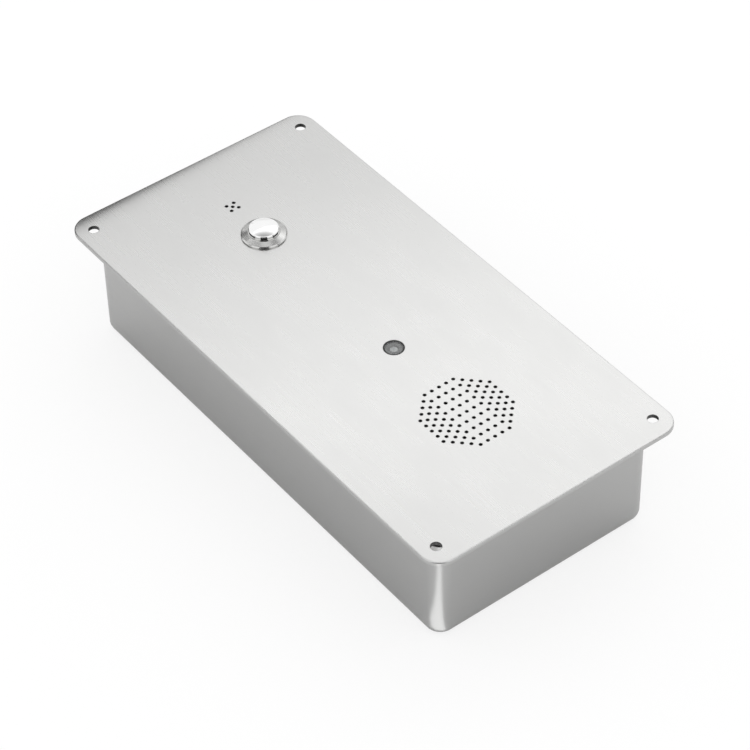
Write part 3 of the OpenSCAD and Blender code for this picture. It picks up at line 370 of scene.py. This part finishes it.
def brushed_steel(name, tone, spread, roughness, shade=None):
    """Satin stainless steel; spread says how fine the brushing is along X, Y and Z, and shade
    gives how much the piece is darkened at each place, painted shade included, from 0 for black to
    1."""
    made, tree, shader = new_finish(name, Metallic=1.0)
    place = placed(tree)
    lines = use(tree, brushing, Place=place, Spread=spread)["Lines"]
    hands = use(tree, handling, Place=place)
    edge = use(tree, edge_wear, Reach=0.3 * MM)
    in_lines, under_film = [[channel * dim for channel in tone] for dim in (line_dim, film_dim)]
    clean = tones(tree, ranged(tree, lines, 0, 1), in_lines, tone)
    handled = tones(tree, ranged(tree, hands["Film"], 0, 1), clean, under_film)
    colour = tones(tree, math_node(tree, "MULTIPLY", edge["Edges"], 0.5), handled, worn_bright)
    # Painted shade: the colour is darkened towards black wherever shade is below 1.
    if shade:
        colour = tones(tree, shade(tree, place), (0, 0, 0), colour)
    smears = ranged(tree, hands["Smears"], -0.012, 0.012)
    shine = math_node(tree, "ADD", ranged(tree, lines, *roughness), smears)
    feed(tree, shader, colour, shine, lines, line_depth, edge["Rounded"])
    return made


# The plate's punched edges are darker. The deep corner holes are painted dark as painted shade,
# and the plate fades darker towards its end away from the camera, also painted shade.
wall_hole_x, wall_hole_y, wall_hole_r = 61.25 * MM, 130.5 * MM, 2.65 * MM
cut_tone, bore_shade_tone, shaded_end_tone = 0.62, 0.15, 0.87
painted_light_way, end_shade_spread = (0.595, 0.804, 0), (-115 * MM, 60 * MM)


def plate_shade(tree, place):
    """The plate's painted shade and darker punched edges at a place, from 0 to 1."""
    cut = ranged(tree, math_node(tree, "ABSOLUTE", facing(tree)["Z"]), cut_tone, 1, (0.35, 0.92))
    hole_axis = (wall_hole_x, wall_hole_y, 0)
    from_hole = vector_node(tree, "SUBTRACT", vector_node(tree, "ABSOLUTE", place), hole_axis)
    away = vector_node(tree, "LENGTH", vector_node(tree, "MULTIPLY", from_hole, (1, 1, 0)))
    in_hole = math_node(tree, "LESS_THAN", away, wall_hole_r + 0.02 * MM)
    # Painted shade: the corner holes' bores are painted dark.
    holes = ranged(tree, in_hole, 1, bore_shade_tone, (0, 1))
    along = vector_node(tree, "DOT_PRODUCT", place, painted_light_way)
    # Painted shade: darker towards the plate's end away from the camera.
    end_shade = ranged(tree, along, shaded_end_tone, 1, end_shade_spread)
    return math_node(tree, "MULTIPLY", math_node(tree, "MULTIPLY", cut, holes), end_shade)


# The plate is the same steel as the box, painted lighter: painted light.
plate_steel = brushed_steel(
    "plate_steel", (0.755, 0.755, 0.747), (2600.0, 30.0, 2600.0), (0.27, 0.30), plate_shade
)
dress(plate_steel, "face_plate")


# ---- Studs and nuts behind the plate --------------------------------------------------------
# Plain stainless M3 studs are welded to the plate's back. Their nuts hold the speaker's ears and
# the microphone's strap.

# Even ridges along Z: a thread, or the turns of a winding.
ridges, takes, gives = new_group(
    "ridges", [("Place", (0.0, 0.0, 0.0)), ("Pitch", 0.5 * MM)], [("Height", "Float")]
)
turn = math_node(ridges, "DIVIDE", split(ridges, takes["Place"])["Z"], takes["Pitch"])
ridges.links.new(math_node(ridges, "PINGPONG", turn, 0.5), gives["Height"])


def threaded_steel(name, pitch, depth):
    """A cut thread on drawn stainless rod."""
    made, tree, shader = new_finish(name, Metallic=1.0)
    place = placed(tree)
    thread = use(tree, ridges, Place=place, Pitch=pitch)["Height"]
    film = noise(tree, place, 400.0)
    colour = tones(tree, ranged(tree, film, 0, 1), (0.52, 0.52, 0.51), (0.64, 0.64, 0.63))
    feed(tree, shader, colour, ranged(tree, film, 0.22, 0.38), thread, depth)
    return made


dress(threaded_steel("stud_steel", 0.5 * MM, 0.25 * MM), "plate_studs")
fixing_steel = brushed_steel(
    "fixing_steel", (0.62, 0.62, 0.61), (500.0, 500.0, 4000.0), (0.24, 0.36)
)
dress(fixing_steel, "stud_nuts")


# ---- Gasket and back box --------------------------------------------------------------------
# The box is folded from 2 mm stainless sheet, its upright corners welded and ground round, and
# brushed along the walls. A strip of closed-cell foam seals its turned rim to the face plate.


def foamed(name, dark, light, cell):
    """Closed-cell foam, cut so that its cells show as small pits."""
    made, tree, shader = new_finish(name)
    pits = add(tree, "ShaderNodeTexVoronoi", {"Vector": placed(tree), "Scale": 1 / cell})
    cells = pits.outputs["Distance"]
    shine = ranged(tree, cells, 0.95, 0.75, (0, 0.7))
    feed(tree, shader, tones(tree, cells, dark, light), shine, cells, cell / 3)
    return made


foam_black = foamed("foam_black", (0.03, 0.03, 0.03), (0.09, 0.09, 0.09), 0.6 * MM)
dress(foam_black, "box_gasket")
# The box is the same steel as the plate, painted darker: painted shade.
box_steel = brushed_steel("box_steel", (0.44, 0.44, 0.436), (30.0, 30.0, 2400.0), (0.31, 0.37))
dress(box_steel, "back_box")


# ---- Pillars, floor screws and cable grommet ------------------------------------------------
# Four hexagonal stainless pillars stand between floor and plate, and a countersunk socket screw
# goes into each through the floor. A soft rubber grommet lines the cable's hole.

# The skin of a moulding or casting: Grain is its fine texture, Flow its broad unevenness.
moulding, takes, gives = new_group(
    "moulding",
    [("Place", (0.0, 0.0, 0.0)), ("Fineness", 1500.0)],
    [("Grain", "Float"), ("Flow", "Float")],
)
moulding.links.new(noise(moulding, takes["Place"], takes["Fineness"], 2.0, 0.6), gives["Grain"])
moulding.links.new(noise(moulding, takes["Place"], 120.0, 2.0, 0.5), gives["Flow"])


def moulded(name, dark, light, roughness, fineness=1500.0, depth=0.02 * MM):
    """A moulded, cast or painted surface between two tones, with grain and worn edges."""
    made, tree, shader = new_finish(name)
    skin = use(tree, moulding, Place=placed(tree), Fineness=fineness)
    edge = use(tree, edge_wear, Reach=0.2 * MM)["Edges"]
    bright = math_node(tree, "MULTIPLY_ADD", edge, 0.4, ranged(tree, skin["Flow"], 0, 0.6))
    shine = ranged(tree, skin["Grain"], *roughness)
    feed(tree, shader, tones(tree, bright, dark, light), shine, skin["Grain"], depth)
    return made


dress(fixing_steel, "box_pillars")
dress(threaded_steel("screw_steel", 0.7 * MM, 0.3 * MM), "box_screws")
soft_rubber = moulded(
    "soft_rubber", (0.018, 0.018, 0.018), (0.05, 0.05, 0.05), (0.55, 0.75), 2500.0
)
dress(soft_rubber, "cable_grommet")


# ---- Push button: body, washer, nut and seal ------------------------------------------------
# A turned stainless body whose conical bezel keeps the lathe's fine rings around a polished
# collar. A nut and a toothed washer hold its barrel, and a rubber ring lies under the bezel.

# The rings that a lathe leaves around an upright axis, and the distance from that axis.
turning, takes, gives = new_group(
    "turning",
    [("Place", (0.0, 0.0, 0.0)), ("Axis", (0.0, 0.0, 0.0)), ("Pitch", 0.3 * MM)],
    [("Rings", "Float"), ("Radius", "Float")],
)
across = vector_node(turning, "SUBTRACT", takes["Place"], takes["Axis"])
level = vector_node(turning, "MULTIPLY", across, (1, 1, 0))
radius = vector_node(turning, "LENGTH", level)
wander = math_node(turning, "MULTIPLY", noise(turning, level, 120.0, 2.0), 0.25)
ring = math_node(turning, "ADD", math_node(turning, "DIVIDE", radius, takes["Pitch"]), wander)
turning.links.new(math_node(turning, "PINGPONG", ring, 0.5), gives["Rings"])
turning.links.new(radius, gives["Radius"])


def middle_of(name):
    """The middle of a CAD node's box."""
    low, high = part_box(name)
    return tuple((low + high) / 2)


# A mix node's sockets for numbers: two go in, and one comes out.
FIRST_NUMBER, SECOND_NUMBER, MIXED_NUMBER = 2, 3, 0


def mixed_numbers(tree, share, first, second):
    """A number between first and second, by the share of second."""
    ends = {0: share, FIRST_NUMBER: first, SECOND_NUMBER: second}
    return add(tree, "ShaderNodeMix", ends).outputs[MIXED_NUMBER]


# Rings on the bezel outside the collar, and the barrel's thread below the face, which is cut
# eight times as deep.
face_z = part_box("face_plate")[1].z
collar_r, ring_pitch, ring_depth = 7.9 * MM, 0.36 * MM, 0.025 * MM
thread_pitch, thread_share, blend = 1.0 * MM, 8.0, 0.1 * MM
bezel_steel, tree, shader = new_finish("bezel_steel", Metallic=1.0)
place = placed(tree)
lathe = use(tree, turning, Place=place, Axis=middle_of("button_body"), Pitch=ring_pitch)
on_bezel = ranged(tree, lathe["Radius"], 0, 1, (collar_r - blend, collar_r + blend))
on_barrel = ranged(tree, split(tree, place)["Z"], 1, 0, (face_z - blend, face_z))
thread = use(tree, ridges, Place=place, Pitch=thread_pitch)["Height"]
deep_thread = math_node(tree, "MULTIPLY", thread, thread_share)
rings = math_node(tree, "MULTIPLY", lathe["Rings"], on_bezel)
feed(
    tree, shader, tones(tree, lathe["Rings"], (0.66, 0.66, 0.65), (0.76, 0.76, 0.75)),
    ranged(tree, on_bezel, 0.07, 0.16, (0, 1)),
    mixed_numbers(tree, on_barrel, rings, deep_thread), ring_depth,
)
dress(bezel_steel, "button_body")
dress(fixing_steel, "button_washer", "button_nut")
dress(soft_rubber, "button_seal")


# ---- Push button: cap, spring and contacts --------------------------------------------------
# The polished cap slides in the collar. Its stem carries a brass bridge down to two contacts in
# a plastic block, and a steel spring between block and cap lifts it again.

cap_chrome, tree, shader = new_finish("cap_chrome", Metallic=1.0)
place = placed(tree)
clouds = noise(tree, place, 260.0, 5.0)
smears = math_node(tree, "MULTIPLY", clouds, use(tree, handling, Place=place)["Smears"])
feed(tree, shader, tones(tree, clouds, (0.90, 0.90, 0.90), (0.96, 0.96, 0.955)),
     ranged(tree, smears, 0.05, 0.12, (0.1, 0.4)))
dress(cap_chrome, "button_cap")


def drawn_metal(name, dark, light, roughness, fineness):
    """Drawn or pressed metal with tarnish in clouds and fine draw lines."""
    made, tree, shader = new_finish(name, Metallic=1.0)
    place = placed(tree)
    clouds = ranged(tree, noise(tree, place, 180.0, 4.0), 0, 1)
    lines = use(tree, brushing, Place=place, Spread=fineness)["Lines"]
    shine = ranged(tree, lines, *roughness)
    feed(tree, shader, tones(tree, clouds, dark, light), shine, lines, 0.004 * MM)
    return made


contact_brass = drawn_metal(
    "contact_brass", (0.62, 0.44, 0.18), (0.83, 0.66, 0.33), (0.18, 0.34), (900.0, 900.0, 200.0)
)
dress(contact_brass, "contact_bridge", "button_terminals")
spring_steel = drawn_metal(
    "spring_steel", (0.42, 0.42, 0.43), (0.60, 0.60, 0.61), (0.20, 0.32), (400.0, 400.0, 3000.0)
)
dress(spring_steel, "button_spring")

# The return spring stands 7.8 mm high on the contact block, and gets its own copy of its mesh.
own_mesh(nodes["button_spring"])

black_plastic = moulded("black_plastic", (0.02, 0.02, 0.021), (0.06, 0.06, 0.062), (0.38, 0.55))
dress(black_plastic, "contact_block")


def insulated(name, dark, light):
    """Soft PVC pulled over a stranded wire: glossy, faintly uneven along its length."""
    return moulded(name, dark, light, (0.30, 0.42), 500.0, 0.03 * MM)


dress(insulated("red_lead", (0.38, 0.012, 0.012), (0.60, 0.05, 0.04)), "button_leads")


# ---- Speaker --------------------------------------------------------------------------------
# A black woven mesh lies behind the grille. A foam ring seals it to a speaker with a black
# pressed basket, a treated paper cone, a cloth spider, a copper coil and a ferrite magnet.

# Threads that pass over and under each other: Threads is their height, Gaps is 1 between them.
weaving, takes, gives = new_group(
    "weaving",
    [("Place", (0.0, 0.0, 0.0)), ("Pitch", 0.4 * MM)],
    [("Threads", "Float"), ("Gaps", "Float")],
)
count = split(weaving, vector_node(weaving, "DIVIDE", takes["Place"], takes["Pitch"]))
warp = math_node(weaving, "SINE", math_node(weaving, "MULTIPLY", count["X"], math.pi))
weft = math_node(weaving, "SINE", math_node(weaving, "MULTIPLY", count["Y"], math.pi))
over = math_node(weaving, "MULTIPLY", warp, weft)
crown = math_node(
    weaving, "MAXIMUM", math_node(weaving, "ABSOLUTE", warp), math_node(weaving, "ABSOLUTE", weft)
)
weaving.links.new(math_node(weaving, "MULTIPLY_ADD", over, 0.5, crown), gives["Threads"])
weaving.links.new(ranged(weaving, crown, 1, 0, (0.25, 0.45)), gives["Gaps"])


def woven(name, dark, light, pitch, roughness):
    """Plain-woven cloth, its gaps darker than its threads."""
    made, tree, shader = new_finish(name, Sheen_Weight=0.2)
    cloth = use(tree, weaving, Place=placed(tree), Pitch=pitch)
    shine = ranged(tree, cloth["Threads"], roughness, roughness - 0.15, (0, 1.5))
    feed(tree, shader, tones(tree, cloth["Gaps"], light, dark), shine, cloth["Threads"], pitch / 4)
    return made


def wound(name, dark, light, pitch):
    """Turns of enamelled copper wire."""
    made, tree, shader = new_finish(name, Metallic=0.9, Coat_Weight=0.6)
    place = placed(tree)
    turns = use(tree, ridges, Place=place, Pitch=pitch)["Height"]
    clouds = noise(tree, place, 300.0)
    bright = math_node(tree, "MULTIPLY", math_node(tree, "MULTIPLY", turns, 2.0), clouds)
    feed(tree, shader, tones(tree, ranged(tree, bright, 0, 1, (0.05, 0.5)), dark, light),
         ranged(tree, clouds, 0.22, 0.36), turns, pitch)
    return made


mesh_black = woven("mesh_black", (0.004, 0.004, 0.004), (0.012, 0.012, 0.012), 0.35 * MM, 0.95)
dress(mesh_black, "speaker_mesh")
dress(foam_black, "speaker_foam")
basket_paint = moulded(
    "basket_paint", (0.025, 0.025, 0.027), (0.075, 0.075, 0.078), (0.30, 0.50), 900.0
)
dress(basket_paint, "speaker_basket")
cone_paper = moulded(
    "cone_paper", (0.030, 0.030, 0.029), (0.080, 0.078, 0.074), (0.70, 0.92), 700.0, 0.06 * MM
)
dress(cone_paper, "speaker_cone")
spider_cloth = woven("spider_cloth", (0.30, 0.17, 0.07), (0.58, 0.38, 0.20), 0.5 * MM, 0.85)
dress(spider_cloth, "speaker_spider")
dress(wound("coil_copper", (0.42, 0.20, 0.10), (0.78, 0.46, 0.27), 0.24 * MM), "voice_coil")
magnet_ferrite = moulded(
    "magnet_ferrite", (0.035, 0.035, 0.036), (0.10, 0.10, 0.10), (0.45, 0.70), 1200.0, 0.05 * MM
)
dress(magnet_ferrite, "speaker_magnet")
yoke_zinc = drawn_metal(
    "yoke_zinc", (0.52, 0.52, 0.51), (0.68, 0.68, 0.66), (0.22, 0.36), (60.0, 60.0, 60.0)
)
dress(yoke_zinc, "speaker_yoke")

# The tag board is brown fibre, and its two solder tags stand outside it.
tag_thick = 0.6 * MM
tags_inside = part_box("speaker_terminals")[1].x - tag_thick
tag_board, tree, shader = new_finish("tag_board")
place = placed(tree)
fibres = noise(tree, vector_node(tree, "MULTIPLY", place, (400.0, 2000.0, 700.0)), 1.0, 4.0)
on_tags = math_node(tree, "GREATER_THAN", split(tree, place)["X"], tags_inside - 0.02 * MM)
board_brown = tones(tree, fibres, (0.22, 0.12, 0.06), (0.42, 0.27, 0.15))
feed(tree, shader, tones(tree, on_tags, board_brown, (0.80, 0.78, 0.70)),
     ranged(tree, fibres, 0.45, 0.65), fibres, 0.02 * MM, metal=on_tags)
dress(tag_board, "speaker_terminals")
dress(insulated("black_lead", (0.015, 0.015, 0.015), (0.05, 0.05, 0.05)), "speaker_leads")


# ---- Camera window --------------------------------------------------------------------------
# A round clear window is held in the plate's hole by a black rubber seal, whose thin rim shows
# around it.

seal_rubber = moulded(
    "seal_rubber", (0.012, 0.012, 0.012), (0.03, 0.03, 0.03), (0.45, 0.60), 2500.0
)
dress(seal_rubber, "window_seal")
window_clear, tree, shader = new_finish(
    "window_clear", Transmission_Weight=1.0, IOR=1.5, Metallic=0.0
)
smears = use(tree, handling, Place=placed(tree))["Smears"]
feed(tree, shader, tones(tree, ranged(tree, smears, 0, 1), (0.93, 0.95, 0.95), (0.98, 0.99, 0.99)),
     ranged(tree, smears, 0.01, 0.03))
dress(window_clear, "camera_window")

# A hair's breadth of gap keeps the window's back off the barrel's front.
gap = nodes["camera_window"].modifiers.new("bond_gap", "DISPLACE")
gap.strength = -0.01 * MM
gap.mid_level = 0


# ---- Camera module --------------------------------------------------------------------------
# An anodised barrel with a small front lens screws into a black holder over the sensor, on a
# green board. Four hexagonal spacers and screws hold the board to the face plate.

# The barrel's front is near black in a thin ring at its edge.
window_low, window_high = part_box("camera_window")
window_r = (window_high.x - window_low.x) / 2
barrel_black, tree, shader = new_finish("barrel_black", Metallic=0.2)
lathe = use(tree, turning, Place=placed(tree), Axis=middle_of("lens_barrel"), Pitch=0.4 * MM)
dark_rim = ranged(tree, lathe["Radius"], 0, 1, (window_r - 0.5 * MM, window_r - 0.4 * MM))
turned = tones(tree, lathe["Rings"], (0.185, 0.185, 0.183), (0.235, 0.235, 0.233))
feed(tree, shader, tones(tree, dark_rim, turned, (0.02, 0.02, 0.02)),
     ranged(tree, lathe["Rings"], 0.55, 0.65, (0, 0.5)), lathe["Rings"], 0.006 * MM)
dress(barrel_black, "lens_barrel")

# The lens's pale grey, palest at its rim, is a painted reflection.
lens_glass, tree, shader = new_finish("lens_glass", Coat_Weight=1.0, Coat_Roughness=0.03, IOR=1.5)
lathe = use(tree, turning, Place=placed(tree), Axis=middle_of("camera_lens"))
painted_reflection = ranged(tree, lathe["Radius"], 0, 1, (0.1 * MM, 0.9 * MM))
feed(tree, shader, tones(tree, painted_reflection, (0.42, 0.43, 0.44), (0.56, 0.56, 0.565)),
     ranged(tree, painted_reflection, 0.10, 0.18, (0, 1)))
dress(lens_glass, "camera_lens")
dress(black_plastic, "lens_holder")

# The sensor's glass top shows its finely chequered picture area inside a pale border.
picture_half = 2.6 * MM
sensor_glass, tree, shader = new_finish("sensor_glass", Coat_Weight=1.0, Coat_Roughness=0.02)
place = placed(tree)
from_middle = vector_node(tree, "SUBTRACT", place, middle_of("image_sensor"))
off = split(tree, vector_node(tree, "ABSOLUTE", from_middle))
further = math_node(tree, "MAXIMUM", off["X"], off["Y"])
border = math_node(tree, "GREATER_THAN", further, picture_half)
cells = add(tree, "ShaderNodeTexChecker", {"Vector": place, "Scale": 8000.0}).outputs["Fac"]
picture = tones(tree, cells, (0.02, 0.03, 0.07), (0.05, 0.06, 0.12))
feed(tree, shader, tones(tree, border, picture, (0.16, 0.15, 0.13)),
     ranged(tree, cells, 0.15, 0.25, (0, 1)))
dress(sensor_glass, "image_sensor")

# Copper tracks under a board's green lacquer: Tracks is 1 on a track, Pads on a bare round pad.
etching, takes, gives = new_group(
    "etching",
    [("Place", (0.0, 0.0, 0.0)), ("Pitch", 0.8 * MM)],
    [("Tracks", "Float"), ("Pads", "Float")],
)
count = vector_node(etching, "DIVIDE", takes["Place"], takes["Pitch"])
field = vector_node(etching, "FLOOR", vector_node(etching, "DIVIDE", count, (9, 7, 9)))
pick = add(etching, "ShaderNodeTexWhiteNoise", {"Vector": field}, noise_dimensions="2D")
lengthwise = math_node(etching, "GREATER_THAN", pick.outputs["Value"], 0.5)
step = split(etching, count)
lane = mixed_numbers(etching, lengthwise, step["X"], step["Y"])
off_lane = math_node(etching, "PINGPONG", lane, 0.5)
etching.links.new(ranged(etching, off_lane, 1, 0, (0.15, 0.20)), gives["Tracks"])
via = add(etching, "ShaderNodeTexVoronoi", {"Vector": count, "Scale": 0.22, "Randomness": 0.8},
          voronoi_dimensions="2D").outputs["Distance"]
etching.links.new(math_node(etching, "LESS_THAN", via, 0.11), gives["Pads"])

board_green, tree, shader = new_finish("board_green", Coat_Weight=0.5, Coat_Roughness=0.15)
copper = use(tree, etching, Place=placed(tree))
lacquer = tones(tree, copper["Tracks"], (0.012, 0.115, 0.045), (0.03, 0.20, 0.08))
feed(tree, shader, tones(tree, copper["Pads"], lacquer, (0.78, 0.76, 0.70)),
     ranged(tree, copper["Tracks"], 0.42, 0.30, (0, 1)), copper["Tracks"], 0.03 * MM,
     metal=copper["Pads"])
dress(board_green, "camera_board")
dress(fixing_steel, "camera_spacers")
board_screw_steel = threaded_steel("board_screw_steel", 0.5 * MM, 0.2 * MM)
dress(board_screw_steel, "camera_screws")

# The ribbon's flat conductors show through its white film.
conductor_pitch = 1.0 * MM
ribbon_film, tree, shader = new_finish("ribbon_film", Coat_Weight=0.4)
across = math_node(tree, "DIVIDE", split(tree, placed(tree))["X"], conductor_pitch)
under = ranged(tree, math_node(tree, "PINGPONG", across, 0.5), 1, 0, (0.20, 0.28))
feed(tree, shader, tones(tree, under, (0.80, 0.80, 0.77), (0.60, 0.62, 0.64)),
     ranged(tree, under, 0.35, 0.25, (0, 1)), under, 0.04 * MM)
dress(ribbon_film, "camera_ribbon")


# ---- Microphone -----------------------------------------------------------------------------
# An electret capsule in a drawn aluminium can, black felt over its front, sits in a rubber boot
# behind the five holes. A pressed steel strap holds the boot up.

capsule_can, tree, shader = new_finish("capsule_can")
place = placed(tree)
felt = math_node(tree, "GREATER_THAN", facing(tree)["Z"], 0.6)
fibres = noise(tree, place, 5000.0, 3.0, 0.7)
lines = use(tree, brushing, Place=place, Spread=(300.0, 300.0, 5000.0))["Lines"]
can = tones(tree, lines, (0.62, 0.62, 0.61), (0.78, 0.78, 0.77))
black = tones(tree, fibres, (0.004, 0.004, 0.004), (0.02, 0.02, 0.02))
shine = mixed_numbers(tree, felt, ranged(tree, lines, 0.2, 0.35), ranged(tree, fibres, 0.9, 1))
feed(tree, shader, tones(tree, felt, can, black), shine, fibres, 0.03 * MM,
     metal=math_node(tree, "SUBTRACT", 1.0, felt))
dress(capsule_can, "mic_capsule")
dress(soft_rubber, "mic_boot")
dress(fixing_steel, "mic_clamp")
dress(insulated("grey_lead", (0.24, 0.24, 0.24), (0.40, 0.40, 0.40)), "mic_leads")


# ---- Main board -----------------------------------------------------------------------------
# A green laminate board hangs on four standoffs. It carries moulded chips, sleeved capacitors,
# a taped transformer, a network jack, a terminal block and the plug headers.

dress(board_green, "main_board")
dress(fixing_steel, "board_standoffs")
dress(board_screw_steel, "board_screws")
chip_black = moulded(
    "chip_black", (0.022, 0.022, 0.023), (0.055, 0.055, 0.055), (0.50, 0.68), 2200.0, 0.03 * MM
)
dress(chip_black, "processor", "memory_chips")

# A dark shrink sleeve with one pale stripe covers each can's side, and its end is bare metal.
can_sleeve, tree, shader = new_finish("can_sleeve", Coat_Weight=0.3)
faces = facing(tree)
bare_end = math_node(tree, "LESS_THAN", faces["Z"], -0.7)
stripe = math_node(tree, "GREATER_THAN", faces["X"], 0.92)
wrinkles = noise(tree, placed(tree), 350.0, 3.0)
sleeve = tones(tree, wrinkles, (0.020, 0.030, 0.10), (0.05, 0.07, 0.19))
striped = tones(tree, stripe, sleeve, (0.60, 0.62, 0.66))
feed(tree, shader, tones(tree, bare_end, striped, (0.78, 0.78, 0.78)),
     ranged(tree, wrinkles, 0.22, 0.38), wrinkles, 0.05 * MM, metal=bare_end)
dress(can_sleeve, "capacitors")

# Copper turns between the core's two dark flanges, each a sixth of the transformer's height.
core_low, core_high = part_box("transformer")
core_h = core_high.z - core_low.z
winding, tree, shader = new_finish("winding_copper", Coat_Weight=0.4)
place = placed(tree)
above_middle = math_node(tree, "SUBTRACT", split(tree, place)["Z"], (core_low.z + core_high.z) / 2)
from_middle = math_node(tree, "ABSOLUTE", above_middle)
on_wire = math_node(tree, "LESS_THAN", from_middle, core_h / 2 - core_h / 6)
turns = use(tree, ridges, Place=place, Pitch=0.5 * MM)["Height"]
wire = tones(tree, math_node(tree, "MULTIPLY", turns, 2.0), (0.36, 0.17, 0.08), (0.76, 0.44, 0.25))
core = tones(tree, noise(tree, place, 900.0), (0.03, 0.03, 0.03), (0.08, 0.08, 0.08))
feed(tree, shader, tones(tree, on_wire, core, wire), ranged(tree, turns, 0.45, 0.28, (0, 0.5)),
     turns, 0.2 * MM, metal=on_wire)
dress(winding, "transformer")

jack_shield = drawn_metal(
    "jack_shield", (0.58, 0.58, 0.57), (0.74, 0.74, 0.72), (0.20, 0.34), (200.0, 2500.0, 200.0)
)
dress(jack_shield, "network_jack")
block_green = moulded("block_green", (0.03, 0.26, 0.09), (0.10, 0.44, 0.18), (0.40, 0.55))
dress(block_green, "terminal_block")
header_nylon = moulded("header_nylon", (0.70, 0.67, 0.58), (0.86, 0.84, 0.77), (0.42, 0.58))
dress(header_nylon, "lead_headers")
